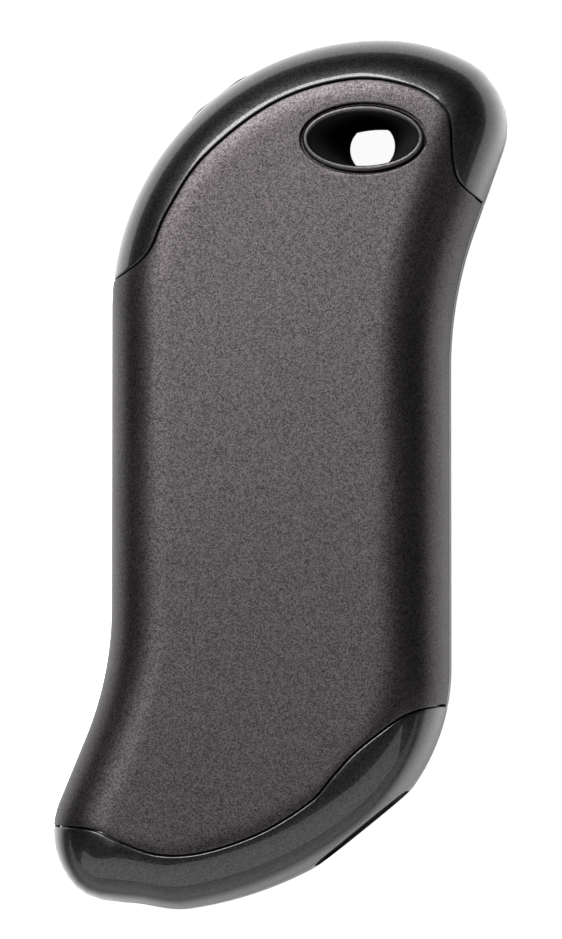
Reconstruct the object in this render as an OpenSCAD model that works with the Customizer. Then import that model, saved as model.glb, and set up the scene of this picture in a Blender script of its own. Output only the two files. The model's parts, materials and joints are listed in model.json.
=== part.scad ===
// Rechargeable hand warmer: a bean shaped heat bank that fills the palm.
// Two gloss mouldings meet on a seam round the middle. A thin metal heat cover lies flush on each face,
// and the mouldings show past it as the hood at one end and the foot cap at the other.
// The hand warmer lies on its back: +Y is the hood end, +Z the front face, the rest face is z = 0.

/* [Cells] */
// Diameter of a cell
cell_d = 18.4; // [18:0.1:18.6]
// Length of a cell
cell_l = 65.2; // [64:0.1:66]
// Gap between the two cells
cell_gap = 0.8; // [0.5:0.1:1]

/* [Body] */
// Room from a cell's side to the outside of its flank
side_room = 5.9; // [5.2:0.1:7]
// Room from a cell to the outside of each heat cover
face_room = 4.3; // [4.1:0.1:6]
// How far the cells run past the straight flanks, both ends together
cell_past = 17.6; // [15:0.2:20]
// How far in from the edge the faces start to roll off
roll_w = 10; // [8:0.5:11]
// Squareness of the roll off, 2 is an ellipse
roll_power = 2.4; // [2:0.1:3]

/* [Hood end] */
// Radius of the long arc at the back of the hood
hood_back_r = 39.2; // [37:0.1:41]
// Radius over the crown of the hood
hood_crown_r = 26.2; // [24:0.1:29]
// Radius of the hood's tip
hood_tip_r = 10.4; // [9.5:0.1:12]
// Radius of the hollow under the tip
hood_neck_r = 59.5; // [50:0.5:70]
// Lean of the neck line, in degrees from the flank
hood_lean = 19.5; // [17:0.5:22]
// Bearing at which the back arc meets the crown arc, in degrees
hood_join = 88; // [84:1:92]
// Distance of the start of the hollow below the end arc's centre
hood_neck_drop = 8.8; // [6:0.1:10]

/* [Foot end] */
// How much further the right flank runs down before the foot's back arc
foot_past = 4.6; // [3:0.1:6]
// Radius of the arc at the back of the foot
foot_back_r = 30.1; // [28:0.1:33]
// Radius under the sole of the foot
foot_sole_r = 55.5; // [50:0.5:60]
// Radius of the toe
foot_tip_r = 11.8; // [10.5:0.1:13]
// Radius of the hollow above the toe
foot_neck_r = 49.4; // [45:0.1:60]
// Lean of the toe line, in degrees from the flank
foot_lean = 22.5; // [20:0.5:24]
// Bearing at which the back arc meets the sole arc, in degrees
foot_join = 129; // [126:1:132]
// Distance of the start of the hollow above the toe from the left flank's end
foot_neck_drop = 4.1; // [3:0.1:6]
// Depth of the shallow hollow under the toe
scoop_depth = 1.4; // [0.5:0.1:1.6]
// Reach of that hollow to each side
scoop_reach = 9; // [7:0.5:11]
// Station of the middle of that hollow, where the sole meets the toe at 2
scoop_at = 2.04; // [1.95:0.01:2.1]

/* [Shell] */
// Thickness of a heat cover
cover_t = 0.8; // [0.6:0.1:1.2]
// Wall of the mouldings under a heat cover
wall = 1.6; // [1.2:0.1:2]
// Open joint between a heat cover and the mouldings
seam_gap = 0.3; // [0.2:0.05:0.5]
// Height of the gloss strip between a heat cover's edge and the middle seam
strip_h = 1.8; // [1:0.1:3]
// Thickness of the tongue on the middle seam
tongue_t = 0.6; // [0.4:0.1:0.8]
// Height of the tongue on the middle seam
tongue_h = 0.8; // [0.5:0.1:1.2]

/* [Lanyard eye] */
// Length of the eye's rim, across the hand warmer
eye_l = 17.5; // [15:0.5:19]
// Height of the eye's rim
eye_h = 9.5; // [9:0.25:10.5]
// Distance of the eye from the line of the right flank
eye_in = 11.4; // [10:0.1:12]
// Distance of the eye from the crown of the hood
eye_down = 15.55; // [14.5:0.05:16.5]
// Width of the rounded rim
eye_rim = 0.8; // [0.6:0.1:1.1]
// Width of the groove round the rim
eye_groove = 0.45; // [0.3:0.05:0.6]
// How far the front rim stands above the face
rim_rise = 0.25; // [0.1:0.05:0.4]
// Radius of the through hole for the lanyard
throat_r = 3.5; // [3:0.1:3.7]
// Length of the straight part of the through hole
throat_l = 4; // [3:0.5:6]

/* [Charging ports] */
// Bearing of the flat for the ports, in degrees
port_turn = -51; // [-53:1:-49]
// Depth of that flat below the foot's back arc
port_flat = 1.1; // [1:0.05:1.4]
// Width of the port panel
panel_w = 17; // [16.5:0.25:17.5]
// Height of the port panel
panel_h = 11.5; // [11.25:0.25:12]
// Corner radius of the port panel
panel_r = 4; // [3:0.25:5]
// How deep the panel lies in its flat
panel_sink = 0.5; // [0.4:0.1:0.7]
// Thickness of the port panel
panel_t = 1.2; // [1:0.1:1.6]
// Width of the large outlet's shell
usb_w = 13.1; // [13:0.1:13.5]
// Height of the large outlet's shell
usb_h = 5.7; // [5.5:0.1:5.8]
// Depth of the large outlet's shell
usb_d = 14; // [12:0.5:15]
// Width of the small charging inlet's shell
inlet_w = 7.5; // [7.3:0.1:8]
// Height of the small charging inlet's shell
inlet_h = 2.6; // [2.5:0.1:2.8]
// Depth of the small charging inlet's shell
inlet_d = 5.5; // [5:0.5:7]
// Thickness of the shells' sheet metal
sheet_t = 0.3; // [0.25:0.05:0.4]

/* [Power button] */
// Bearing of the power button on the hood's back arc, in degrees
button_turn = 127; // [125:1:129]
// Length of the power button along the edge
button_l = 13; // [11:0.5:14]
// Height of the power button
button_h = 6.5; // [5.5:0.5:7.5]
// How far the power button stands proud
button_rise = 0.15; // [0:0.05:0.4]
// Travel of the power button
button_travel = 0.5; // [0.3:0.05:0.5]
// Radius of a status light
light_r = 0.75; // [0.5:0.05:1]
// Number of status lights
lights = 4; // [3:1:4]
// Step from one status light to the next, in degrees
light_step = 4.3; // [4:0.1:4.5]

/* [Inside] */
// Wall of the cradle under the cells
cradle_t = 1.1; // [0.8:0.1:1.3]
// Thickness of the circuit boards
board_t = 1.2; // [1:0.1:1.6]
// Thickness of a heater film
heater_t = 0.3; // [0.2:0.05:0.4]
// Width of a heater film
heater_w = 26; // [20:1:27]
// Length of a heater film
heater_l = 58; // [40:1:60]
// Radius of a screw's shank
screw_r = 1; // [0.8:0.1:1.1]
// Length of a screw
screw_l = 16; // [14:0.5:17]

/* [Hidden] */
$fn = 48;

// Colours
gloss_black = [0.11, 0.11, 0.12];
cover_grey = [0.30, 0.28, 0.28];
matt_black = [0.07, 0.07, 0.07];
board_green = [0.05, 0.30, 0.16];
bright_metal = [0.75, 0.75, 0.76];

// Clearances
fit = 0.15;       // round an insert in its opening
seat = 0.05;      // between two faces that bear on each other
slide = 0.2;      // round the power button
over = 1;         // how far a cut runs past what it cuts

// Body
grip_w = 2 * cell_d + cell_gap + 2 * side_room;
grip_len = cell_l - cell_past;
thickness = cell_d + 2 * face_room;
mid_z = thickness / 2;
flank_x = grip_w / 2;
end_y = grip_len / 2;
shell_t = cover_t + wall;
recess = cover_t + seat;
tongue_in = shell_t - 0.1;
least_r = 1.5;    // smallest radius of an inner outline's tip
roll_steps = 7;
hood = [hood_back_r, hood_crown_r, hood_tip_r, hood_neck_r, hood_lean, hood_join, hood_neck_drop, 0, 0];
foot = [
    foot_back_r, foot_sole_r, foot_tip_r, foot_neck_r, foot_lean, foot_join, foot_neck_drop,
    foot_past, scoop_depth
];
arc_steps = [11, 7, 8, 1, 4];  // steps along the back, crown, tip, neck line and hollow

// Seams of the heat covers, from the back to the neck: [station on the outline, share of the roll inside it]
hood_seam = [
    [0.055, -0.20], [0.088, 0.28], [0.15, 0.58], [0.26, 0.64], [0.45, 0.67], [0.70, 0.675], [0.92, 0.66],
    [1.5, 0.72], [2.29, 0.78], [2.97, 0.69], [3.37, 0.48], [3.58, 0.27], [3.69, -0.20]
];
foot_seam = [
    [0.19, -0.20], [0.25, 0.18], [0.34, 0.47], [0.50, 0.70], [0.72, 0.86], [0.95, 0.86], [1.12, 0.77],
    [1.38, 0.735], [1.65, 0.74], [1.85, 0.80], [2.36, 1.00], [2.81, 0.78], [2.84, 0.47], [2.83, -0.20]
];
seam_steps = 4;

// Lanyard eye: the crown of the hood and the sole of the foot are the two ends of the body
crown_y = end_y + (hood_back_r - hood_crown_r) * sin(hood_join) + hood_crown_r;
sole_y = -end_y - foot_past - (foot_back_r - foot_sole_r) * sin(foot_join) - foot_sole_r;
eye = [flank_x - eye_in, crown_y - eye_down];
eye_steps = 40;
sleeve_t = 1.1;

// Ports: the two shells lie on the two sides of the main board, and the stack is centred on the panel,
// which is midway between the flat's ends on the back arc and the sole arc
flat_shift = (sqrt(2 * foot_sole_r * port_flat) - sqrt(2 * foot_back_r * port_flat)) / 2;
port_c = -back_c(foot) + (foot_back_r - port_flat) * dir(port_turn) + flat_shift * dir(port_turn - 90);
frame_x = panel_sink + panel_t;
flange_t = 0.8;
flange_w = 0.5;
stack_h = usb_h + board_t + inlet_h;
inlet_z = mid_z - stack_h / 2;
board_z = inlet_z + inlet_h;
usb_z = board_z + board_t;
mouth_x = -panel_sink - 0.1;
usb_block = 4;          // depth of the contact block
usb_tongue_t = 1.8;
tongue_top = 0.4;       // from the tongue to the block's sides and top
contact_w = 1;
contact_step = 2.5;

// Power button: distances from the centre of the hood's back arc
wall_in_r = hood_back_r - shell_t;
button_flange_r = wall_in_r - 0.6;
button_flange_t = 1.2;
button_flange_w = 0.9;
boss_end = button_flange_r - button_flange_t - 0.6;
switch_top = boss_end - button_travel - 0.1;
switch_h = 3.3;
switch_w = 6;
stem_r = 1.6;
button_board_x = switch_top - switch_h;
first_light = 14.5;
led = [0.7, 1.6, 0.8];
guide_h = 2.6;
button_board_l = 24.5;
button_board_w = 8;
button_board_end = 6;   // beyond the button's middle, away from the lights
cable_from = 12;        // from the button's middle, towards the lights

// Parts on the main board: spots from the left flank and the sole
coil_spot = [11.2, 21.7];
coil_r = 3.6;
coil_h = 3.8;
charge_spot = [3.2, 9.2];
boost_spot = [9.7, 7.7];
capacitor_spot = [5.7, 14.8];
capacitor_step = 2.6;

// Cells and what lies round them
cell_x = (cell_d + cell_gap) / 2;
tab_t = 0.2;
tab_r = 4;
board_top_y = -cell_l / 2 - 1.9;
wire_z = mid_z + 0.4 * cell_d;
wire_r = 0.5;
tail = [-8, board_top_y - 1.9];  // where a film's two wires start
tail_w = 5;
tail_end = 2;
tail_hole_r = 1.2;
foam_share = 2 / 3;              // of a film's length
foam_w = grip_w - 2 * (shell_t + roll_w) - 2 * seat;
heater_z = mid_z - recess - heater_t - seat;

// Screws: the heads sit under the back cover
boss_r = 2.6;
head_r = 1.9 * screw_r;
head_h = 1.2;
head_sink = 1.3;
slot_w = 0.5;
slot_d = 0.5;
screw_seat = mid_z - shell_t - head_sink;
tip_room = 0.5;         // past the end of a screw
hood_left_in = 19.7;    // from the line of the nearer flank
hood_left_down = 23;    // from the crown of the hood
hood_right_in = 3.2;
hood_right_down = 25.5;
toe_in = 2.4;
toe_up = 19.6;          // from the sole of the foot
foot_in = 11.2;
foot_up = 27.9;
screws = [
    [-flank_x + hood_left_in, crown_y - hood_left_down],
    [flank_x - hood_right_in, crown_y - hood_right_down],
    [-flank_x + toe_in, sole_y + toe_up],
    [flank_x - foot_in, sole_y + foot_up]
];

function dir(a) = [cos(a), sin(a)];
function bearing(v) = atan2(v.y, v.x);
function mix(a, b, t) = a + (b - a) * t;

// One end of the outline is a chain of arcs that touch: back, crown, tip, neck line and hollow
function back_c(e) = [e[0] - flank_x, end_y + e[7]];
function crown_c(e) = back_c(e) + (e[0] - e[1]) * dir(e[5]);
function neck_c(e) = [flank_x + e[3], end_y - e[6]];
function neck_in(e) = dir(180 - e[4]);
function neck_up(e) = dir(90 - e[4]);
function tip_radius(e, k) = max(e[2] - k, least_r);

// Centre of the tip arc, k inside the edge: it touches the crown arc and the neck line
function tip_c(e, k) = let(
    r = tip_radius(e, k),
    base = neck_c(e) + (e[3] + k + r) * neck_in(e),
    q = base - crown_c(e),
    b = q * neck_up(e),
    reach = e[1] - k - r
) base + (sqrt(b * b - q * q + reach * reach) - b) * neck_up(e);

// Point of the arcs at a station of one end, k inside them: the whole part of the station picks the arc
function on_arcs(e, station, k) = let(
    s = min(floor(station), 4),
    t = station - s,
    c = tip_c(e, k),
    turn = bearing(c - crown_c(e)),
    r = tip_radius(e, k)
) s == 0 ? back_c(e) + (e[0] - k) * dir(mix(180, e[5], t))
    : s == 1 ? crown_c(e) + (e[1] - k) * dir(mix(e[5], turn, t))
    : s == 2 ? c + r * dir(mix(turn, -e[4], t))
    : s == 3 ? mix(c - r * neck_in(e), neck_c(e) + (e[3] + k) * neck_in(e), t)
    : neck_c(e) + (e[3] + k) * dir(mix(180 - e[4], 180, t));

// Depth of the hollow under the toe at a station: it fades out to both sides
function scoop(e, station) = e[8] == 0 ? 0
    : e[8] * pow(cos(min(90, 90 * norm(on_arcs(e, station, 0) - on_arcs(e, scoop_at, 0)) / scoop_reach)), 2);

// Point at a station of one end, k inside the edge
function edge(e, station, k) = on_arcs(e, station, k + scoop(e, station));

stations = concat([for (s = [0:4]) each [for (i = [0:arc_steps[s] - 1]) s + i / arc_steps[s]]], [5]);

// Whole outline, k inside the edge: the foot is the hood's kind of end turned half round
function outline(k) = concat(
    [for (u = stations) edge(hood, u, k)],
    [for (u = stations) -edge(foot, u, k)]
);

// Smooth open curve through points, from the second to the last but one
function smooth(p, n) = concat(
    [for (i = [1:len(p) - 3]) each [for (j = [0:n - 1]) let(
        t = j / n, a = p[i - 1], b = p[i], c = p[i + 1], d = p[i + 2]
    ) b + t * ((c - a) + t * ((2 * a - 5 * b + 4 * c - d) + t * (3 * b - a - 3 * c + d))) / 2]],
    [p[len(p) - 2]]
);

// The same curve moved sideways by w
function shifted(p, w) = [for (i = [0:len(p) - 1]) let(
    v = p[min(i + 1, len(p) - 1)] - p[max(i - 1, 0)]
) p[i] + w * [v.y, -v.x] / norm(v)];

function doubled(p) = concat([2 * p[0] - p[1]], p, [2 * p[len(p) - 1] - p[len(p) - 2]]);
function seam(e, knots) = smooth(doubled([for (k = knots) edge(e, k[0], k[1] * roll_w)]), seam_steps);

// Plan of a heat cover, drawn in by a gap along both seams
function cover_plan(gap) = concat(
    shifted(seam(hood, hood_seam), gap),
    [for (p = shifted(seam(foot, foot_seam), gap)) -p]
);

function oval(a, b) = [for (i = [0:eye_steps - 1]) let(t = -360 * i / eye_steps) [a * cos(t), b * sin(t)]];
function lift(p, z) = [for (q = p) [q.x, q.y, z]];
function rounded(w, h, r) = [for (c = [[1, 1, 0], [-1, 1, 90], [-1, -1, 180], [1, -1, 270]])
    each [for (a = [0:15:90]) [c.x * (w / 2 - r), c.y * (h / 2 - r)] + r * dir(c.z + a)]];

// Flat face over a ring of n points in triangles. Rungs run from one long side of the ring to the other, from
// the crown of the hood at a fifth of the way round down to the toe, so that none crosses a hollow.
function ladder(n) = let(q = floor(n / 5)) [for (i = [0:n / 2 - 2]) let(
    a = (q - i - 1 + n) % n,
    b = (q - i + n) % n,
    c = (q + i + 1) % n,
    d = (q + i + 2) % n
) each [[a, b, c], [a, c, d]]];

// Solid through a stack of rings with equal counts, each ring clockwise from above
module skin(rings) {
    n = len(rings[0]);
    top = (len(rings) - 1) * n;
    polyhedron(
        points = [for (r = rings) each r],
        faces = concat(
            [for (j = [0:len(rings) - 2], i = [0:n - 1]) let(a = j * n, b = (i + 1) % n)
                each [[a + i, a + b, a + n + b], [a + i, a + n + b, a + n + i]]],
            [for (f = ladder(n)) [f.z, f.y, f.x]],
            [for (f = ladder(n)) [f.x + top, f.y + top, f.z + top]]
        )
    );
}

// Front half of the body, k inside its surface, on the middle seam's plane
module half_body(k, below = 0) {
    rings = [for (j = [0:roll_steps]) let(
        t = 90 * j / roll_steps,
        inset = k + roll_w * (1 - pow(cos(t), 2 / roll_power)),
        z = (mid_z - k) * pow(sin(t), 2 / roll_power)
    ) lift(outline(inset), z)];
    skin(below > 0 ? concat([lift(outline(k), -below)], rings) : rings);
}

module on_front() {
    translate([0, 0, mid_z]) children();
}

module on_back() {
    translate([0, 0, mid_z]) mirror([0, 0, 1]) children();
}

// Frame of the port panel: x points out of the flat
module at_port() {
    translate([port_c.x, port_c.y, 0]) rotate(port_turn) children();
}

// Frame of the power button: x points out through the button, from the back arc's centre
module at_button() {
    translate([back_c(hood).x, back_c(hood).y, 0]) rotate(button_turn) children();
}

// Prism of a plan drawn across the frame's x, from x0 on
module across(x0, length, z) {
    translate([x0, 0, z]) rotate([90, 0, 90]) linear_extrude(length) children();
}

module pill(w, h) {
    polygon(rounded(w, h, h / 2 - 0.01));
}

// Gloss mouldings

module screw_bosses() {
    for (p = screws) translate([p.x, p.y, -over]) cylinder(r = boss_r, h = mid_z);
}

// Inner lip that the port panel's flange bears on
module port_frame() {
    translate([0, 0, -mid_z]) at_port()
        across(-frame_x, frame_x + over, mid_z)
        polygon(rounded(panel_w + 4, panel_h + 5, panel_r + 2));
}

module port_cuts() {
    translate([0, 0, -mid_z]) at_port() {
        translate([0, -grip_w / 2, -over]) cube([grip_w, grip_w, thickness + 2 * over]);
        across(-frame_x - over, frame_x + 2 * over, mid_z)
            polygon(rounded(panel_w + 2 * fit, panel_h + 2 * fit, panel_r));
        across(-frame_x - flange_t - over, flange_t + over, mid_z)
            polygon(rounded(panel_w + 2 * flange_w + 2 * fit, panel_h + 2 * flange_w + 2 * fit, panel_r));
    }
}

module button_cuts() {
    translate([0, 0, -mid_z]) at_button() {
        across(boss_end, shell_t + 6, mid_z) pill(button_l + 2 * slide, button_h + 2 * slide);
        for (i = [0:lights - 1]) rotate(first_light + i * light_step)
            translate([wall_in_r - 2, 0, mid_z]) rotate([0, 90, 0]) cylinder(r = light_r, h = shell_t + 4);
    }
}

// What lies over a recess: the space of a heat cover, open to the outside
module cover_space() {
    difference() {
        translate([0, 0, strip_h]) linear_extrude(thickness) polygon(cover_plan(0));
        half_body(recess, over);
    }
}

module cavity() {
    difference() {
        half_body(shell_t, over);
        screw_bosses();
        port_frame();
    }
}

module half_shell() {
    difference() {
        half_body(0);
        cover_space();
        cavity();
        translate([eye.x, eye.y, 0]) linear_extrude(thickness)
            polygon(oval(eye_l / 2 + fit, eye_h / 2 + fit));
        translate([0, 0, heater_z]) linear_extrude(thickness) heater_plan(fit);
        translate([tail.x, tail.y, 0]) cylinder(r = tail_hole_r, h = mid_z);
        port_cuts();
        button_cuts();
    }
}

module seam_ring(out, in, h) {
    linear_extrude(h) difference() {
        polygon(outline(out));
        polygon(outline(in));
    }
}

module front_housing() {
    color(gloss_black) on_front() difference() {
        union() {
            half_shell();
            difference() {
                translate([0, 0, -tongue_h]) seam_ring(tongue_in - tongue_t, tongue_in, tongue_h + 0.4);
                port_cuts();
                button_cuts();
            }
        }
        for (p = screws) translate([p.x, p.y, -over])
            cylinder(r = screw_r + seat, h = screw_l - screw_seat + over + tip_room);
    }
}

module back_housing() {
    color(gloss_black) on_back() difference() {
        half_shell();
        translate([0, 0, -over])
            seam_ring(tongue_in - tongue_t - fit, shell_t + over, tongue_h + over + fit);
        for (p = screws) translate([p.x, p.y, 0]) {
            translate([0, 0, -over]) cylinder(r = screw_r + fit, h = thickness);
            translate([0, 0, screw_seat]) cylinder(r = head_r + fit, h = thickness);
        }
    }
}

// Heat covers

module cover() {
    difference() {
        intersection() {
            half_body(0);
            translate([0, 0, strip_h + seam_gap]) linear_extrude(thickness) polygon(cover_plan(seam_gap));
        }
        half_body(cover_t, over);
        translate([eye.x, eye.y, 0]) linear_extrude(thickness)
            polygon(oval(eye_l / 2 + eye_groove, eye_h / 2 + eye_groove));
    }
}

module front_cover() {
    color(cover_grey) on_front() cover();
}

module back_cover() {
    color(cover_grey) on_back() cover();
}

// Lanyard eye: a flared sleeve with a rounded rim, from depth under the face up to the rim's crown
module eyelet(depth, flare, rise) {
    a = eye_l / 2;
    b = eye_h / 2;
    low = throat_r + sleeve_t;
    mouth = throat_r + 0.2;
    translate([eye.x, eye.y, mid_z]) difference() {
        skin([
            lift(oval(low, low), -depth),
            lift(oval(a - 1, b - 0.4), -3),
            lift(oval(a, b), -shell_t),
            lift(oval(a, b), 0),
            lift(oval(a - eye_rim * 0.15, b - eye_rim * 0.15), rise * 0.7),
            lift(oval(a - eye_rim * 0.5, b - eye_rim * 0.5), rise),
            lift(oval(a - eye_rim * 0.85, b - eye_rim * 0.85), rise * 0.7),
            lift(oval(a - eye_rim, b - eye_rim), -0.1),
            lift(oval(mix(a - eye_rim, mouth, 0.35), mix(b - eye_rim, mouth, 0.35)), -flare * 0.22),
            lift(oval(mix(a - eye_rim, mouth, 0.7), mix(b - eye_rim, mouth, 0.7)), -flare * 0.55),
            lift(oval(mouth, mouth), -flare)
        ]);
        translate([0, 0, -depth - over]) cylinder(r = throat_r, h = depth + over + rise);
    }
}

module front_eyelet() {
    color(gloss_black) on_front() eyelet(mid_z + throat_l / 2, mid_z - throat_l / 2, rim_rise);
}

module back_eyelet() {
    color(gloss_black) on_back() eyelet(mid_z - throat_l / 2 - seat, mid_z - throat_l / 2 - 1, -0.1);
}

// Ports

module inlet_plan(grow) {
    w = inlet_w / 2 + grow;
    h = inlet_h / 2 + grow;
    polygon([[-w, h], [w, h], [w, -h * 0.1], [w - h * 0.8, -h], [-w + h * 0.8, -h], [-w, -h * 0.1]]);
}

module port_panel() {
    color(matt_black) at_port() difference() {
        union() {
            across(-frame_x, panel_t, mid_z) polygon(rounded(panel_w, panel_h, panel_r));
            across(-frame_x - flange_t, flange_t - seat, mid_z)
                polygon(rounded(panel_w + 2 * flange_w, panel_h + 2 * flange_w, panel_r));
            across(-frame_x - seat, 2 * seat, mid_z) polygon(rounded(panel_w, panel_h, panel_r));
        }
        across(-frame_x - over, frame_x + over, usb_z + usb_h / 2)
            polygon(rounded(usb_w + 2 * fit, usb_h + 2 * fit, 0.8));
        across(-frame_x - over, frame_x + over, inlet_z + inlet_h / 2) inlet_plan(fit);
    }
}

module outlet_shell() {
    color(bright_metal) at_port() difference() {
        across(mouth_x - usb_d, usb_d, usb_z + usb_h / 2) polygon(rounded(usb_w, usb_h, 0.6));
        across(mouth_x - usb_d + sheet_t, usb_d, usb_z + usb_h / 2)
            polygon(rounded(usb_w - 2 * sheet_t, usb_h - 2 * sheet_t, 0.4));
    }
}

// Contact block with its tongue on the upper side, and four contact slots
module outlet_tongue() {
    w = usb_w - 2 * sheet_t - 2 * fit;
    h = usb_h - 2 * sheet_t - 2 * fit;
    low = h - tongue_top - usb_tongue_t;
    first = w / 2 - 1.5 * contact_step - contact_w / 2;
    color(matt_black) at_port() translate([mouth_x - usb_d + sheet_t, -w / 2, usb_z + sheet_t + fit])
        difference() {
            union() {
                cube([usb_block, w, h]);
                translate([0, tongue_top, low]) cube([usb_d - 1.6, w - 2 * tongue_top, usb_tongue_t]);
            }
            for (i = [0:3]) translate([usb_block + 0.5, first + i * contact_step, low - over])
                cube([usb_d, contact_w, over + 0.3]);
        }
}

module inlet_shell() {
    color(bright_metal) at_port() difference() {
        across(mouth_x - inlet_d, inlet_d, inlet_z + inlet_h / 2) inlet_plan(0);
        across(mouth_x - inlet_d + sheet_t, inlet_d, inlet_z + inlet_h / 2) inlet_plan(-sheet_t);
    }
}

module inlet_tongue() {
    w = inlet_w - 2 * sheet_t - 1.2;
    color(matt_black) at_port()
        translate([mouth_x - inlet_d + sheet_t, -w / 2, inlet_z + inlet_h - sheet_t - 1.2]) {
        cube([1.2, w, 1.1]);
        translate([0, 0.6, 0.2]) cube([inlet_d - 1.2, w - 1.2, 0.7]);
    }
}

// Power button, its switch and the status lights

module power_button() {
    color(gloss_black) at_button() {
        difference() {
            union() {
                intersection() {
                    across(boss_end, shell_t + 6, mid_z) pill(button_l, button_h);
                    cylinder(r = hood_back_r + button_rise, h = thickness);
                }
                intersection() {
                    across(boss_end, shell_t + 6, mid_z)
                        pill(button_l + 2 * button_flange_w, button_h + 2 * button_flange_w);
                    cylinder(r = button_flange_r, h = thickness);
                }
            }
            translate([0, 0, -over])
                cylinder(r = button_flange_r - button_flange_t, h = thickness + 2 * over);
        }
        translate([boss_end, 0, mid_z]) rotate([0, 90, 0]) cylinder(r = stem_r + 0.6, h = 1.2);
    }
}

module switch_stem() {
    color(matt_black) at_button() translate([switch_top - 2, 0, mid_z]) rotate([0, 90, 0])
        cylinder(r = stem_r, h = boss_end - switch_top + 2);
}

module tact_switch() {
    color(bright_metal) at_button() difference() {
        translate([button_board_x, -switch_w / 2, mid_z - switch_w / 2])
            cube([switch_h, switch_w, switch_w]);
        translate([switch_top - 2 - button_travel - fit, 0, mid_z]) rotate([0, 90, 0])
            cylinder(r = stem_r + fit, h = switch_h + over);
    }
}

module button_board() {
    color(board_green) at_button()
        translate([button_board_x - board_t, -button_board_end, mid_z - button_board_w / 2])
        cube([board_t, button_board_l, button_board_w]);
}

module status_leds() {
    color("white") at_button() for (i = [0:lights - 1])
        translate([button_board_x, (button_board_x + led.x / 2) * tan(first_light + i * light_step), mid_z])
        translate([0, -led.y / 2, -led.z / 2]) cube(led);
}

// Clear bar behind the wall with one round pin to each light's hole
module light_guide() {
    in_x = button_board_x + led.x + fit;
    from = first_light - 1.9;
    to = first_light + (lights - 1) * light_step + 2;
    pin_end = hood_back_r - 0.1;
    color("white") at_button() {
        translate([0, 0, mid_z - guide_h / 2]) linear_extrude(guide_h) intersection() {
            circle(r = wall_in_r - slide, $fn = 200);
            polygon([[in_x, in_x * tan(from)], [2 * in_x, 2 * in_x * tan(from)],
                [2 * in_x, 2 * in_x * tan(to)], [in_x, in_x * tan(to)]]);
        }
        for (i = [0:lights - 1]) let(
            turn = first_light + i * light_step,
            pin_from = (in_x + light_r * sin(turn)) / cos(turn)
        ) rotate(turn) translate([pin_from, 0, mid_z]) rotate([0, 90, 0])
            cylinder(r = light_r - seat, h = pin_end - pin_from);
    }
}

// Cells

// Steel can with its crimped groove and the raised pole at the hood end
module cell(side) {
    r = cell_d / 2;
    color([0.12, 0.35, 0.62]) translate([side * cell_x, -cell_l / 2, mid_z]) rotate([-90, 0, 0])
        rotate_extrude() polygon([
            [0, 0], [r - 0.6, 0], [r, 0.6], [r, cell_l - 4.2], [r - 0.7, cell_l - 3.5],
            [r, cell_l - 2.8], [r, cell_l - 1.2], [r - 0.5, cell_l - 0.7], [r - 2.2, cell_l - 0.7],
            [r - 2.2, cell_l - 1.2], [tab_r, cell_l - 1.2], [tab_r - 0.3, cell_l], [0, cell_l]
        ]);
}

module cell_left() {
    cell(-1);
}

module cell_right() {
    cell(1);
}

module cell_cradle() {
    r = cell_d / 2 + fit;
    color([0.85, 0.84, 0.80]) translate([0, cell_l / 2 - 5, mid_z]) rotate([90, 0, 0])
        linear_extrude(cell_l - 10) difference() {
            for (s = [-1, 1]) translate([s * cell_x, 0]) circle(r = r + cradle_t);
            for (s = [-1, 1]) translate([s * cell_x, 0]) circle(r = r);
            translate([-grip_w, 0]) square([2 * grip_w, grip_w]);
        }
}

module cell_pad() {
    z = mid_z + cell_d / 2 + seat;
    color([0.2, 0.2, 0.22]) translate([-foam_w / 2, -foam_share * heater_l / 2, z])
        cube([foam_w, foam_share * heater_l, mid_z - shell_t - cell_d / 2 - 2 * seat]);
}

module tab(y) {
    color(bright_metal) translate([0, y, mid_z]) rotate([90, 0, 0]) linear_extrude(tab_t) {
        for (s = [-1, 1]) translate([s * cell_x, 0]) circle(r = tab_r - 1);
        translate([-cell_x, -2]) square([2 * cell_x, 4]);
    }
}

module hood_tab() {
    tab(cell_l / 2 + tab_t);
}

module foot_tab() {
    tab(-cell_l / 2);
}

// Heater films

module heater_plan(grow) {
    translate([-heater_w / 2 - grow, -heater_l / 2 - grow])
        square([heater_w + 2 * grow, heater_l + 2 * grow]);
    translate([tail.x - tail_w / 2 - grow, tail.y - tail_end - grow])
        square([tail_w + 2 * grow, over + tail_end + grow - heater_l / 2 - tail.y]);
}

module heater() {
    translate([0, 0, heater_z + seat]) linear_extrude(heater_t) heater_plan(0);
}

module front_heater() {
    color([0.75, 0.45, 0.12]) on_front() heater();
}

module back_heater() {
    color([0.75, 0.45, 0.12]) on_back() heater();
}

module heater_lead(z0, z1) {
    for (s = [-1, 1]) translate([tail.x + s * (wire_r + seat), tail.y, z0])
        cylinder(r = wire_r, h = z1 - z0);
}

module front_heater_lead() {
    color("firebrick") heater_lead(board_z + board_t, mid_z + heater_z + seat);
}

module back_heater_lead() {
    color("firebrick") heater_lead(mid_z - heater_z - seat, board_z);
}

// Main board and its parts

module board_plan() {
    difference() {
        intersection() {
            polygon(outline(shell_t + 0.6));
            translate([-grip_w, -3 * end_y - grip_w]) square([2 * grip_w, 3 * end_y + grip_w + board_top_y]);
        }
        at_port() translate([-frame_x - flange_t - 0.3, -grip_w]) square(2 * grip_w);
        for (p = screws) translate(p) circle(r = boss_r + 0.4);
    }
}

module main_board() {
    color(board_green) translate([0, 0, board_z]) linear_extrude(board_t) board_plan();
}

// Spot on the main board, from the line of the left flank and the sole of the foot
module on_board(spot) {
    translate([-flank_x + spot.x, sole_y + spot.y, usb_z]) children();
}

module boost_coil() {
    color([0.25, 0.25, 0.26]) on_board(coil_spot) difference() {
        cylinder(r = coil_r, h = coil_h);
        translate([0, 0, coil_h - 0.5]) cylinder(r = coil_r - 2, h = over);
    }
}

module charge_chip() {
    color(matt_black) on_board(charge_spot) cube([4, 4, 0.9]);
}

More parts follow.
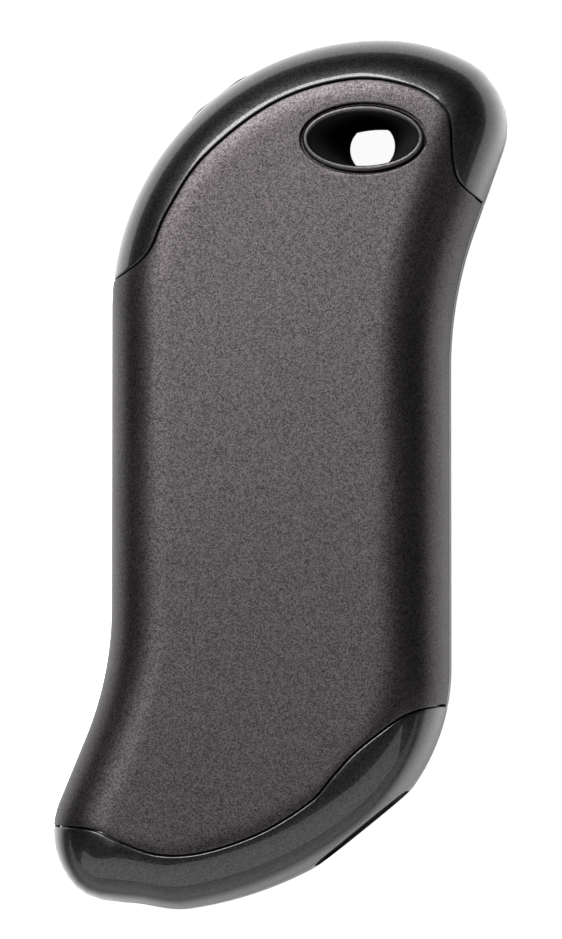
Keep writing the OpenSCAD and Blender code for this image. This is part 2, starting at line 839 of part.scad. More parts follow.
module boost_chip() {
    color(matt_black) on_board(boost_spot) cube([5, 4, 1.1]);
}

module capacitors() {
    color([0.72, 0.66, 0.55]) for (i = [0:2])
        on_board(capacitor_spot + [capacitor_step * i, 0]) cube([1.6, 3.2, 1.4]);
}

// Wires

// Round wire along a hand laid route, with six sides
module wire(route) {
    last = len(route) - 1;
    skin([for (i = [0:last]) let(
        v = route[min(i + 1, last)] - route[max(i - 1, 0)],
        w = v / norm(v),
        side = abs(w.x) < 0.9 ? cross(w, [1, 0, 0]) : cross(w, [0, 1, 0]),
        a = side / norm(side),
        b = cross(w, a)
    ) [for (j = [0:5]) route[i] + wire_r * (cos(60 * j) * a - sin(60 * j) * b)]]);
}

module positive_lead() {
    x = 1.3;
    y = cell_l / 2 + tab_t;
    color("red") wire([
        [x, y, mid_z + 1], [x, y + 0.7, mid_z + 1], [x, y + 1.2, mid_z + 1.8], [x, y + 1.2, wire_z - 1.4],
        [x, y + 0.6, wire_z - 0.3], [x, y - 0.8, wire_z], [x, board_top_y + 0.2, wire_z],
        [x, board_top_y - 1, wire_z - 0.5], [x, board_top_y - 1.6, wire_z - 1.8],
        [x, board_top_y - 1.6, usb_z]
    ]);
}

module negative_lead() {
    x = -cell_x / 2;
    y = -cell_l / 2 - tab_t;
    color("black") wire([
        [x, y, mid_z + 1.3], [x, y - 1.6, mid_z + 1.3], [x, board_top_y - 0.5, mid_z + 1],
        [x, board_top_y - 1.1, mid_z + 0.2], [x, board_top_y - 1.1, usb_z]
    ]);
}

module button_cable() {
    foot_of_cable = (button_board_x - board_t) * dir(button_turn) + cable_from * dir(button_turn + 90);
    start = back_c(hood) + foot_of_cable;
    in = -dir(button_turn);
    x = -1.3;
    color("dimgray") wire([
        [start.x, start.y, mid_z], [start.x + 1.2 * in.x, start.y + 1.2 * in.y, mid_z],
        [start.x + 3.5 * in.x, start.y + 3.5 * in.y, mid_z + 1.5],
        [mix(start.x, x, 0.6), cell_l / 2 + 3.6, wire_z - 2],
        [x - 1.4, cell_l / 2 + 2.6, wire_z - 0.3], [x, cell_l / 2 - 0.5, wire_z],
        [x, board_top_y + 0.2, wire_z], [x, board_top_y - 1, wire_z - 0.5],
        [x, board_top_y - 1.6, wire_z - 1.8], [x, board_top_y - 1.6, usb_z]
    ]);
}

// Screws

module screw(p) {
    color(bright_metal) on_back() translate([p.x, p.y, screw_seat]) difference() {
        union() {
            cylinder(r = head_r, h = head_h);
            translate([0, 0, -screw_l]) cylinder(r = screw_r, h = screw_l);
        }
        for (a = [0, 90]) rotate(a) translate([-head_r * 0.6, -slot_w / 2, head_h - slot_d])
            cube([head_r * 1.2, slot_w, over]);
    }
}

module screw_hood_left() {
    screw(screws[0]);
}

module screw_hood_right() {
    screw(screws[1]);
}

module screw_toe() {
    screw(screws[2]);
}

module screw_foot() {
    screw(screws[3]);
}

front_housing();
back_housing();
front_cover();
back_cover();
front_eyelet();
back_eyelet();
port_panel();
outlet_shell();
outlet_tongue();
inlet_shell();
inlet_tongue();
power_button();
switch_stem();
tact_switch();
button_board();
status_leds();
light_guide();
cell_left();
cell_right();
cell_cradle();
cell_pad();
hood_tab();
foot_tab();
front_heater();
back_heater();
front_heater_lead();
back_heater_lead();
main_board();
boost_coil();
charge_chip();
boost_chip();
capacitors();
positive_lead();
negative_lead();
button_cable();
screw_hood_left();
screw_hood_right();
screw_toe();
screw_foot();
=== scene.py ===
"""A rechargeable hand warmer that lies on its back on a pale table, seen from above.

The file is laid out as a Blender add-on. Each operator makes one piece of the hand warmer, or a few like
pieces, or the stage, and main() calls them in order. Lengths are in metres. The hood end is +Y and the
front face +Z. Plan coordinates are x and y, and the height over the middle seam is called z in the text.
"""

import json

import bmesh
import bpy
import numpy as np
from bpy.props import FloatProperty, FloatVectorProperty, IntProperty, PointerProperty
from bpy.types import Operator, Panel, PropertyGroup
from mathutils import Matrix


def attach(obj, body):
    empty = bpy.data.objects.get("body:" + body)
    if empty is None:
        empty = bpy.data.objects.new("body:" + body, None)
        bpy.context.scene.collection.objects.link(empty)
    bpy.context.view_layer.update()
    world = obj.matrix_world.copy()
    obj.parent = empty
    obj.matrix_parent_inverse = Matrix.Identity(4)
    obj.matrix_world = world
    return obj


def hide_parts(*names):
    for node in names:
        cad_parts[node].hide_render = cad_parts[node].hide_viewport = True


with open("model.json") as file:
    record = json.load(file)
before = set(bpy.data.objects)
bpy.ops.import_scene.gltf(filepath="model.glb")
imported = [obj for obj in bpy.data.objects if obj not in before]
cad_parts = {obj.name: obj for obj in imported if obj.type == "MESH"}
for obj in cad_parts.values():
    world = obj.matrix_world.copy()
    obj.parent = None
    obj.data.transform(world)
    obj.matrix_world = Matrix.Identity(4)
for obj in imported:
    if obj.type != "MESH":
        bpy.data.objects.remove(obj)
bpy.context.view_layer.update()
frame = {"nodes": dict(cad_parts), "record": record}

bl_info = {
    "name": "Hand Warmer",
    "version": (1, 0, 0),
    "blender": (4, 5, 0),
    "location": "3D View > Sidebar > Hand Warmer",
    "description": "Makes a pocket hand warmer with metal heat covers and gloss mouldings",
    "category": "Object",
}

MM = 0.001
UP = np.array([0.0, 0.0, 1.0])

# Up to this height over the middle seam the roll is steep, and is worked out from the height
LOW_ROLL = 3 * MM
# Least radius of the tip and toe arcs, however far inside the edge they run
LEAST_TIP_R = 1.5 * MM
# Points closer than this become one
WELD = 1e-7


# Sizes, given in millimetres and degrees


def size(label, mm, words):
    return FloatProperty(name=label, description=words, default=mm * MM, unit="LENGTH", precision=5)


def angle(label, degrees, words):
    return FloatProperty(name=label, description=words, default=np.radians(degrees), subtype="ANGLE")


def ratio(label, value, words):
    return FloatProperty(name=label, description=words, default=value)


def watts(label, value, words):
    return FloatProperty(name=label, description=words, default=value, unit="POWER")


def count(label, value, words):
    return IntProperty(name=label, description=words, default=value, min=1)


def colour(label, rgb, words):
    return FloatVectorProperty(name=label, description=words, default=(*rgb, 1), size=4, subtype="COLOR",
                               min=0, max=1)


class HandWarmerBody(PropertyGroup):
    """Sizes of the bean shaped body"""

    grip_w: size("Grip width", 49.4, "Width across the two straight flanks")
    grip_len: size("Grip length", 47.6, "Length of the straight flanks")
    thickness: size("Thickness", 27, "Thickness over both heat covers")
    roll_w: size("Roll width", 10, "How far in from the edge the faces start to roll off")
    roll_power: ratio("Roll squareness", 2.4, "Squareness of the roll off, 2 is an ellipse")


class HandWarmerHood(PropertyGroup):
    """Arcs of the hood end"""

    back_r: size("Back radius", 39.2, "Radius of the long arc at the back of the hood")
    crown_r: size("Crown radius", 26.2, "Radius over the crown of the hood")
    tip_r: size("Tip radius", 10.4, "Radius of the hood's tip")
    neck_r: size("Hollow radius", 59.5, "Radius of the hollow under the tip")
    lean: angle("Lean", 19.5, "Lean of the neck line from the flank")
    join: angle("Join", 88, "Bearing at which the back arc meets the crown arc")
    neck_drop: size("Hollow drop", 8.8, "Start of the hollow below the flank's end")
    past: size("Flank past", 0, "How much further the flank at the back runs before the back arc")


class HandWarmerFoot(PropertyGroup):
    """Arcs of the foot end, in the foot's own frame, which is turned half round"""

    back_r: size("Back radius", 30.1, "Radius of the arc at the back of the foot")
    crown_r: size("Sole radius", 55.5, "Radius under the sole of the foot")
    tip_r: size("Toe radius", 11.8, "Radius of the toe")
    neck_r: size("Hollow radius", 49.4, "Radius of the hollow above the toe")
    lean: angle("Lean", 22.5, "Lean of the toe line from the flank")
    join: angle("Join", 129, "Bearing at which the back arc meets the sole arc")
    neck_drop: size("Hollow drop", 4.1, "Start of the hollow above the toe from the flank's end")
    past: size("Flank past", 4.6, "How much further the flank at the back runs before the back arc")
    scoop: size("Scoop", 1.4, "Depth of the shallow hollow under the toe")
    scoop_reach: size("Scoop reach", 9, "Reach of that hollow to each side")
    scoop_at: ratio("Scoop station", 2.04, "Middle of that hollow, where the sole meets the toe at 2")


class HandWarmerShell(PropertyGroup):
    """Walls, joints and edges of the mouldings and the heat covers"""

    cover_t: size("Cover thickness", 0.8, "Thickness of a heat cover")
    recess: size("Recess", 0.85, "Depth of the mouldings' recess under a heat cover")
    shell_t: size("Shell thickness", 2.4, "Depth of the mouldings' inner wall")
    seam_gap: size("Seam gap", 0.3, "Open joint between a heat cover and the mouldings")
    strip_h: size("Strip height", 1.8, "Gloss strip between a heat cover and the middle seam")
    cover_edge: size("Cover edge", 0.12, "Radius of a heat cover's edge")
    shell_edge: size("Moulding edge", 0.22, "Radius of the mouldings' edge along a heat cover")
    seam_edge: size("Seam edge", 0.12, "Radius of the mouldings' edge along the middle seam")
    tongue_t: size("Tongue thickness", 0.6, "Thickness of the tongue on the middle seam")
    tongue_h: size("Tongue height", 0.8, "Height of the tongue on the middle seam")
    fit: size("Fit", 0.15, "Clearance round an insert in its opening")


class HandWarmerEye(PropertyGroup):
    """The lanyard eye"""

    centre_x: size("Centre X", 13.3, "Distance of the eye from the middle of the grip, across")
    centre_y: size("Centre Y", 47.4421, "Distance of the eye from the middle of the grip, along")
    length: size("Length", 17.5, "Length of the rim")
    height: size("Height", 9.5, "Height of the rim")
    rim: size("Rim width", 0.8, "Width of the rounded rim")
    groove: size("Groove", 0.45, "Width of the groove round the rim")
    front_rise: size("Front rise", 0.25, "How far the front rim stands over the face")
    back_rise: size("Back rise", -0.1, "How far the back rim stands over its face")
    throat_r: size("Throat radius", 3.5, "Radius of the through hole")
    throat_l: size("Throat length", 4, "Length of the straight part of the through hole")


class HandWarmerPorts(PropertyGroup):
    """The flat for the charging ports"""

    turn: angle("Bearing", -51, "Bearing of the flat")
    flat: size("Flat depth", 1.1, "Depth of the flat below the foot's back arc")
    panel_w: size("Panel width", 17, "Width of the port panel")
    panel_h: size("Panel height", 11.5, "Height of the port panel")
    panel_r: size("Panel corner", 4, "Corner radius of the port panel")


class HandWarmerButton(PropertyGroup):
    """The power button and the status lights"""

    turn: angle("Bearing", 127, "Bearing of the button on the hood's back arc")
    length: size("Length", 13, "Length of the button along the edge")
    height: size("Height", 6.5, "Height of the button")
    rise: size("Rise", 0.15, "How far the button stands proud")
    slide: size("Clearance", 0.2, "Clearance round the button")
    lights: count("Lights", 4, "Number of status lights")
    first_light: angle("First light", 14.5, "Turn from the button to the first light")
    light_step: angle("Light step", 4.3, "Turn from one light to the next")
    light_r: size("Light radius", 0.75, "Radius of a status light")


class HandWarmerLooks(PropertyGroup):
    """Colours of the finishes"""

    cover: colour("Heat cover", (0.079, 0.071, 0.075), "Anodised metal of the heat covers")
    gloss: colour("Gloss", (0.045, 0.043, 0.044), "Flake under the gloss of the mouldings")
    rim: colour("Eye rim", (0.075, 0.070, 0.072), "Gunmetal rim of the lanyard eye")
    black: colour("Black plastic", (0.018, 0.018, 0.019), "Moulded plastic of the ports")
    metal: colour("Bright metal", (0.62, 0.62, 0.63), "Plated sheet metal")
    floor: colour("Floor", (0.93, 0.93, 0.93), "The pale table")


class HandWarmerStage(PropertyGroup):
    """Camera and light"""

    camera_x: size("Camera X", 100.887, "Camera position across the hand warmer")
    camera_y: size("Camera Y", -44.065, "Camera position along the hand warmer")
    camera_z: size("Camera height", 900, "Camera distance over the middle seam")
    aim_x: size("Aim X", -0.113, "Point that the camera looks at, across")
    aim_y: size("Aim Y", 0.435, "Point that the camera looks at, along")
    view_h: size("View height", 137.1, "Length that the picture's height shows at the middle seam")
    top_power: watts("Top light", 12, "Power of the soft light overhead, a little to the left and beyond")
    near_power: watts("Near light", 26, "Power of the soft light on the near side")
    world: ratio("World", 0.02, "Level of the dim room")


# The body as a surface


def to(v):
    """Unit vectors of the last axis."""
    return v / np.maximum(np.linalg.norm(v, axis=-1, keepdims=True), 1e-12)


def bearing(a):
    return np.stack([np.cos(a), np.sin(a)], -1)


def mix(a, b, t):
    return a + (b - a) * t


def gaps(curve):
    """Distances from each point of a curve to the next."""
    return np.linalg.norm(np.diff(curve, axis=0), axis=1)


class Body:
    """The closed outline, a chain of arcs and lines that touch, and the rolled faces over it."""

    def __init__(self, scene):
        body = scene.hand_warmer_body
        self.flank_x, self.end_y = body.grip_w / 2, body.grip_len / 2
        self.h, self.w, self.p = body.thickness / 2, body.roll_w, body.roll_power
        self.mid_z = self.h
        self.ends = (scene.hand_warmer_hood, scene.hand_warmer_foot)
        self.foot = scene.hand_warmer_foot
        self.scoop_at = -self.on_arcs(self.foot, self.foot.scoop_at, 0)
        self.parts = []
        for e, other, sign in zip(self.ends, self.ends[::-1], (1, -1)):
            back, crown, neck = self.centres(e)
            tip = self.tip(e, 0)
            turn = np.arctan2(*(tip - crown)[::-1])
            inward = bearing(np.pi - e.lean)
            self.arc(sign, back, e.back_r, np.pi, e.join, 1)
            self.arc(sign, crown, e.crown_r, e.join, turn, 1)
            self.arc(sign, tip, e.tip_r, turn, -e.lean, 1)
            self.line(sign, tip - e.tip_r * inward, neck + e.neck_r * inward)
            self.arc(sign, neck, e.neck_r, np.pi - e.lean, np.pi, -1)
            self.line(sign, neck - [e.neck_r, 0], np.array([self.flank_x, -self.end_y - other.past]))
        trail = np.concatenate([self.walk(part) for part in self.parts])
        self.trail = trail[np.r_[True, gaps(trail) > 1e-9]]
        self.length = np.r_[0, np.cumsum(gaps(self.trail))]

    def centres(self, e):
        """Centres of the back arc, the crown arc and the hollow of one end, in its own frame."""
        back = np.array([e.back_r - self.flank_x, self.end_y + e.past])
        crown = back + (e.back_r - e.crown_r) * bearing(e.join)
        return back, crown, np.array([self.flank_x + e.neck_r, self.end_y - e.neck_drop])

    @staticmethod
    def tip_radius(e, k):
        return max(e.tip_r - k, LEAST_TIP_R)

    def tip(self, e, k):
        """Centre of the tip arc k inside the edge: it touches the crown arc and the neck line."""
        _, crown, neck = self.centres(e)
        r = self.tip_radius(e, k)
        up = bearing(np.pi / 2 - e.lean)
        base = neck + (e.neck_r + k + r) * bearing(np.pi - e.lean)
        q = base - crown
        b = q @ up
        return base + (np.sqrt(b * b - q @ q + (e.crown_r - k - r) ** 2) - b) * up

    def on_arcs(self, e, station, k):
        """Point k inside one end's arcs. The station's whole part picks the arc or line, in the order back,
        crown, tip, neck line, hollow, and the rest is the share of the way along it."""
        back, crown, neck = self.centres(e)
        tip, r = self.tip(e, k), self.tip_radius(e, k)
        turn = np.arctan2(*(tip - crown)[::-1])
        s = min(int(station), 4)
        t = station - s
        inward = bearing(np.pi - e.lean)
        if s == 0:
            return back + (e.back_r - k) * bearing(mix(np.pi, e.join, t))
        if s == 1:
            return crown + (e.crown_r - k) * bearing(mix(e.join, turn, t))
        if s == 2:
            return tip + r * bearing(mix(turn, -e.lean, t))
        if s == 3:
            return mix(tip - r * inward, neck + (e.neck_r + k) * inward, t)
        return neck + (e.neck_r + k) * bearing(mix(np.pi - e.lean, np.pi, t))

    def scoop(self, rim):
        """Depth of the shallow hollow under the toe at points of the arcs, and its slope in plan: the depth
        is scoop cos(u)^2, with u a right angle at the hollow's reach."""
        v = rim - self.scoop_at
        u = np.minimum(np.linalg.norm(v, axis=-1) / self.foot.scoop_reach, 1) * np.pi / 2
        fall = -self.foot.scoop * np.pi / 2 / self.foot.scoop_reach * np.sin(2 * u)
        return self.foot.scoop * np.cos(u) ** 2, fall[..., None] * to(v)

    def edge(self, e, station, k):
        """Point k inside one end's edge, in the end's own frame."""
        rim = self.on_arcs(e, station, 0) * (-1 if e == self.foot else 1)
        return self.on_arcs(e, station, k + self.scoop(rim)[0])

    def arc(self, sign, c, r, a, b, convex):
        if sign < 0:
            c, a, b = -c, a + np.pi, b + np.pi
        self.parts.append(dict(c=c, r=r, a=a, b=b, convex=convex))

    def line(self, sign, a, b):
        if sign < 0:
            a, b = -a, -b
        along = to(b - a)
        self.parts.append(dict(start=a, along=along, reach=np.linalg.norm(b - a),
                               inward=np.array([along[1], -along[0]])))

    def walk(self, part, step=0.05 * MM):
        """Close points of the outline along one arc or line."""
        if "c" in part:
            n = max(2, int(abs(part["b"] - part["a"]) * part["r"] / step))
            out = bearing(np.linspace(part["a"], part["b"], n))
            rim = part["c"] + part["r"] * out
            return rim - part["convex"] * out * self.scoop(rim)[0][:, None]
        n = max(2, int(part["reach"] / step))
        return part["start"] + np.linspace(0, part["reach"], n)[:, None] * part["along"]

    def inset(self, plan):
        """Distance of plan points inside the outline, the unit direction inwards from the arcs, and the one
        in which the distance grows. The distance is the least over the arcs and lines whose span holds the
        point, less the scoop's depth there."""
        best = np.full(plan.shape[:-1], np.inf)
        inward = np.zeros_like(plan)
        for part in self.parts:
            if "c" in part:
                v = plan - part["c"]
                r = np.linalg.norm(v, axis=-1)
                mid, half = (part["a"] + part["b"]) / 2, abs(part["a"] - part["b"]) / 2
                off = (np.arctan2(v[..., 1], v[..., 0]) - mid + np.pi) % (2 * np.pi) - np.pi
                d = part["convex"] * (part["r"] - r)
                held = np.abs(off) <= half + 1e-6
                way = -part["convex"] * v / np.maximum(r, 1e-9)[..., None]
            else:
                v = plan - part["start"]
                d = v @ part["inward"]
                run = v @ part["along"]
                held = (run >= -1e-9) & (run <= part["reach"] + 1e-9)
                way = np.broadcast_to(part["inward"], plan.shape)
            nearer = held & (d < best)
            best = np.where(nearer, d, best)
            inward = np.where(nearer[..., None], way, inward)
        depth, slope = self.scoop(plan - inward * best[..., None])
        slope = slope - inward * (slope * inward).sum(-1, keepdims=True)
        return best - depth, inward, to(inward - slope)

    def at(self, s):
        """Points of the outline at lengths s along it."""
        s = np.asarray(s) % self.length[-1]
        return np.stack([np.interp(s, self.length, self.trail[:, i]) for i in (0, 1)], -1)

    def where(self, point):
        """Length along the outline at which it passes nearest to a point."""
        return self.length[np.argmin(np.linalg.norm(self.trail - point, axis=1))]

    def dome(self, plan, k=0.0):
        """Points and unit normals of the front face k inside its surface, over plan points. With d the
        distance inside the outline, (1 - (d - k) / w)^p + (z / (h - k))^p = 1 in the roll, and the face is
        flat beyond it."""
        d, _, steepest = self.inset(plan)
        h = self.h - k
        x = np.clip(1 - (d - k) / self.w, 0, 1)
        z = h * (1 - x**self.p) ** (1 / self.p)
        side = -steepest * (x ** (self.p - 1) / self.w)[..., None]
        rise = (z / h) ** (self.p - 1) / h
        points = np.concatenate([plan, z[..., None]], -1)
        return points, to(np.concatenate([side, rise[..., None]], -1))

    def roll(self, foot, inward, t, k=0.0):
        """Points of the rolled edge over points of the outline: with t from 0 at the middle seam to a right
        angle, the distance inside is k + w (1 - cos(t)^(2/p)) and the height (h - k) sin(t)^(2/p)."""
        d = k + self.w * (1 - np.cos(t) ** (2 / self.p))
        z = (self.h - k) * np.sin(t) ** (2 / self.p)
        heights = z[..., None] * np.ones(foot.shape[:-1] + (1,))
        return np.concatenate([foot + inward * d[..., None], heights], -1)

    def turn_at_height(self, z, k=0.0):
        return np.arcsin((np.maximum(z, 0) / (self.h - k)) ** (self.p / 2))

    def turn_at_inset(self, d, k=0.0):
        return np.arccos(np.clip(1 - (d - k) / self.w, 0, 1) ** (self.p / 2))

    def inset_at_height(self, z):
        return self.w * (1 - (1 - (z / self.h) ** self.p) ** (1 / self.p))


# Seams of the heat covers, from the back to the neck: (station on the outline, share of the roll inside it)
HOOD_SEAM = ((0.055, -0.20), (0.088, 0.28), (0.15, 0.58), (0.26, 0.64), (0.45, 0.67), (0.70, 0.675),
             (0.92, 0.66), (1.5, 0.72), (2.29, 0.78), (2.97, 0.69), (3.37, 0.48), (3.58, 0.27),
             (3.69, -0.20))
FOOT_SEAM = ((0.19, -0.20), (0.25, 0.18), (0.34, 0.47), (0.50, 0.70), (0.72, 0.86), (0.95, 0.86),
             (1.12, 0.77), (1.38, 0.735), (1.65, 0.74), (1.85, 0.80), (2.36, 1.00), (2.81, 0.78),
             (2.84, 0.47), (2.83, -0.20))
# Points of a seam between one knot and the next
KNOT_STEPS = 80


def seam_curve(body, e, sign, knots, shift, height):
    """A seam in plan: a smooth curve through its knots, moved sideways by shift towards the heat cover, and
    cut where the face has come down to a height. Each stretch between knots is the cubic whose slope at a
    knot is half the way between the knot's two neighbours."""
    p = np.array([body.edge(e, s, d * body.w) for s, d in knots])
    p = np.concatenate([[2 * p[0] - p[1]], p, [2 * p[-1] - p[-2]]])
    t = np.linspace(0, 1, KNOT_STEPS, endpoint=False)[None, :, None]
    a, b, c, d = (p[i:len(p) - 3 + i, None] for i in range(4))
    bend, twist = 2 * a - 5 * b + 4 * c - d, 3 * b - a - 3 * c + d
    line = (b + t * ((c - a) + t * (bend + t * twist)) / 2).reshape(-1, 2)
    slope = np.gradient(line, axis=0)
    line = sign * (line + shift * to(np.stack([slope[:, 1], -slope[:, 0]], -1)))
    deep = body.inset(line)[0] - body.inset_at_height(height)
    first = np.argmax(deep > 0)
    last = len(deep) - 1 - np.argmax(deep[::-1] > 0)
    start = mix(line[first - 1], line[first], -deep[first - 1] / (deep[first] - deep[first - 1]))
    end = mix(line[last + 1], line[last], -deep[last + 1] / (deep[last] - deep[last + 1]))
    return np.concatenate([[start], line[first:last + 1], [end]])


def spread(body, near, mid, width, least=0.06):
    """Shares of the way across the grip, even between the two rolls. In a roll they are the width's shares
    of w (1 - cos(t)^(2/p)), close together at the edge, with t from a least turn to a right angle. The
    first is the edge itself."""
    t = np.linspace(least, np.pi / 2, near, endpoint=False)
    roll = np.r_[0, (body.w * (1 - np.cos(t) ** (2 / body.p)) / width)[1:]]
    return np.r_[roll, np.linspace(body.w / width, 1 - body.w / width, mid), 1 - roll[::-1]]


def along(curve, body, share):
    """Points of a seam at shares of its way, where the way counts the seam and the outline by it alike."""
    d, inward, _ = body.inset(curve)
    foot = curve - inward * d[:, None]
    way = np.r_[0, np.cumsum(gaps(curve) + gaps(foot))]
    return np.stack([np.interp(share * way[-1], way, curve[:, i]) for i in (0, 1)], -1)


class Border:
    """The edge of a heat cover's area, drawn in by a gap: four rows of points on the body's surface, left to
    right along the two seams and foot to hood along the two flanks."""

    # Points across one roll, between the two rolls, and along a flank
    NEAR, MID, ROWS = 20, 190, 90

    def __init__(self, body, shell, gap):
        height = shell.strip_h + gap
        hood, foot = body.ends
        share = spread(body, self.NEAR, self.MID, 2 * body.flank_x)
        top = seam_curve(body, hood, 1, HOOD_SEAM, gap, height)
        low = seam_curve(body, foot, -1, FOOT_SEAM, gap, height)[::-1]
        self.top = body.dome(along(top, body, share))[0]
        self.low = body.dome(along(low, body, share))[0]
        turn = body.turn_at_height(np.array(height))
        self.sides = []
        for end in (0, -1):
            a, b = body.where(low[end]), body.where(top[end])
            if end == 0 and b < a:
                b += body.length[-1]
            plan = body.at(np.linspace(a, b, self.ROWS))
            self.sides.append(body.roll(plan, body.inset(plan)[1], turn))
        left, right = self.sides
        for row, start, end in ((left, self.low[0], self.top[0]), (right, self.low[-1], self.top[-1])):
            row[0], row[-1] = start, end

    def ring(self):
        """The border as one closed loop, clockwise from above."""
        left, right = self.sides
        return np.concatenate([self.top[:-1], right[::-1][:-1], self.low[::-1][:-1], left[:-1]])

    @staticmethod
    def of_ring(ring):
        """The four rows of a closed loop, in the same order."""
        n, m = len(ring), Border.ROWS
        across = (n - 2 * (m - 1)) // 2
        loop = np.concatenate([ring, ring[:1]])
        top = loop[:across + 1]
        right = loop[across:across + m][::-1]
        low = loop[across + m - 1:2 * across + m][::-1]
        left = loop[2 * across + m - 1:]
        return top, low, left, right


def sheet_over(body, ring, k):
    """A face k inside the body's surface within a closed loop. In plan it is a Coons patch: the blend of the
    two seams and the two flanks less the blend of the corners. The heights are the dome's."""
    top, low, left, right = Border.of_ring(ring)
    way = gaps(low[:, :2]) + gaps(top[:, :2])
    s = np.r_[0, np.cumsum(way)][None, :, None] / way.sum()
    r = np.linspace(0, 1, len(left))[:, None, None]
    low2, top2, left2, right2 = (v[:, :2] for v in (low, top, left, right))
    plan = ((1 - r) * low2[None] + r * top2[None] + (1 - s) * left2[:, None] + s * right2[:, None]
            - (1 - s) * (1 - r) * low2[0] - s * (1 - r) * low2[-1] - (1 - s) * r * top2[0] - s * r * top2[-1])
    sheet = body.dome(plan, k)[0]
    sheet[0], sheet[-1], sheet[:, 0], sheet[:, -1] = low, top, left, right
    return sheet


# Meshes from grids


class Mesh:
    """Collects grids of points and makes one closed mesh of them."""

    def __init__(self):
        self.points, self.faces, self.total = [], [], 0

    def grid(self, p, wrap_rows=False, wrap_columns=False, skip=None):
        """Quads over a grid of points, less the cells that skip marks."""
        rows, columns = p.shape[:2]
        i = np.arange(rows * columns).reshape(rows, columns) + self.total
        if wrap_rows:
            i = np.vstack([i, i[:1]])
        if wrap_columns:
            i = np.hstack([i, i[:, :1]])
        quads = np.stack([i[:-1, :-1], i[:-1, 1:], i[1:, 1:], i[1:, :-1]], -1)
        if skip is not None:
            quads = quads[~skip]
        self.points.append(p.reshape(-1, 3))
        self.faces.append(quads.reshape(-1, 4))
        self.total += rows * columns
        return self

    def build(self, name, place=None):
        """The object. Points that touch become one, a cell with two corners in one point becomes a triangle
        and one with fewer corners goes, and the faces are turned outwards."""
        p = np.concatenate(self.points)
        if place is not None:
            p = place(p)
        f = np.concatenate(self.faces)
        _, first, index = np.unique(np.round(p / WELD).astype(np.int64), axis=0, return_index=True,
                                    return_inverse=True)
        p, f = p[first], index.reshape(-1)[f]
        doubled = (f == np.roll(f, 1, axis=1)).sum(axis=1)
        quads, bent = f[doubled == 0], f[doubled == 1]
        triangles = bent[bent != np.roll(bent, 1, axis=1)].reshape(-1, 3)
        mesh = bpy.data.meshes.new(name)
        mesh.vertices.add(len(p))
        mesh.vertices.foreach_set("co", p.astype(np.float32).ravel())
        mesh.loops.add(4 * len(quads) + 3 * len(triangles))
        mesh.loops.foreach_set("vertex_index", np.r_[quads.ravel(), triangles.ravel()].astype(np.int32))
        mesh.polygons.add(len(quads) + len(triangles))
        starts = np.r_[np.arange(len(quads)) * 4, 4 * len(quads) + np.arange(len(triangles)) * 3]
        mesh.polygons.foreach_set("loop_start", starts.astype(np.int32))
        mesh.update(calc_edges=True)
        mesh.validate()
        obj = bpy.data.objects.new(name, mesh)
        bpy.context.scene.collection.objects.link(obj)
        return turned_out(obj)


def turned_out(obj):
    """Turns the faces of a closed mesh outwards."""
    work = bmesh.new()
    work.from_mesh(obj.data)
    bmesh.ops.recalc_face_normals(work, faces=work.faces)
    work.to_mesh(obj.data)
    work.free()
    return obj


def shade(obj, degrees=32):
    """Smooth faces, with creases sharper than an angle left sharp."""
    obj.data.shade_smooth()
    obj.data.set_sharp_from_angle(angle=np.radians(degrees))
    return obj


def frames(body, ring, k=0.0):
    """Unit normals of the body along a closed loop, and the directions in its surface away from the loop's
    inside: the normal crossed with the loop's tangent."""
    normal = body.dome(ring[:, :2], k)[1]
    low = ring[:, 2] < LOW_ROLL
    if low.any():
        inward = body.inset(ring[low, :2])[2]
        turn = body.turn_at_height(ring[low, 2], k)
        side = np.cos(turn) ** (2 / body.p * (body.p - 1)) / body.w
        rise = np.sin(turn) ** (2 / body.p * (body.p - 1)) / (body.h - k)
        normal[low] = to(np.c_[-inward * side[:, None], rise])
    tangent = to(np.roll(ring, -1, axis=0) - np.roll(ring, 1, axis=0))
    outward = to(np.cross(normal, tangent))
    return normal, outward


def lip(edge, normal, outward, radius, depth, steps=4):
    """Rows that round an edge over and go down its wall. The loop edge lies a radius short of the wall. A
    row is edge + outward r sin(a) - normal r (1 - cos(a)) up to a right angle, then the wall down to the
    depth."""
    a = np.linspace(0, np.pi / 2, steps + 1)[:, None, None]
    rows = edge + outward * (radius * np.sin(a)) - normal * (radius * (1 - np.cos(a)))
    return np.concatenate([rows, (rows[-1] - normal * (depth - radius))[None]])


def eye_oval(eye, grow):
    """Centre and half axes of the lanyard eye's rim, made larger all round."""
    return np.array([eye.centre_x, eye.centre_y]), eye.length / 2 + grow, eye.height / 2 + grow


def eye_block(sheet, centre, a, b, margin=2.2 * MM, evened=0.7):
    """The block of a sheet's cells round an oval with a margin, and the angles of the block's rim round the
    oval's centre. They are evened out by a share, so that the oval's own points are spread more evenly."""
    plan = (sheet[..., :2] - centre) / [a + margin, b + margin]
    r, c = np.nonzero((plan**2).sum(-1) < 1)
    block = r.min() - 1, r.max() + 1, c.min() - 1, c.max() + 1
    v = block_rim(sheet, block)[:, :2] - centre
    angles = np.unwrap(np.arctan2(v[:, 1] / b, v[:, 0] / a))
    turn = np.sign(angles[-1] - angles[0]) * 2 * np.pi
    even = angles[0] + turn * np.arange(len(angles)) / len(angles)
    return block, mix(angles, even, evened)


def block_rim(sheet, block):
    """The points round a block, as a closed loop."""
    r0, r1, c0, c1 = block
    return np.concatenate([sheet[r0, c0:c1], sheet[r0:r1, c1], sheet[r1, c1:c0:-1], sheet[r1:r0:-1, c0]])


def oval(centre, a, b, angles):
    """Plan points of an oval: its centre + (a cos, b sin) of each angle."""
    return centre + np.stack([a * np.cos(angles), b * np.sin(angles)], -1)


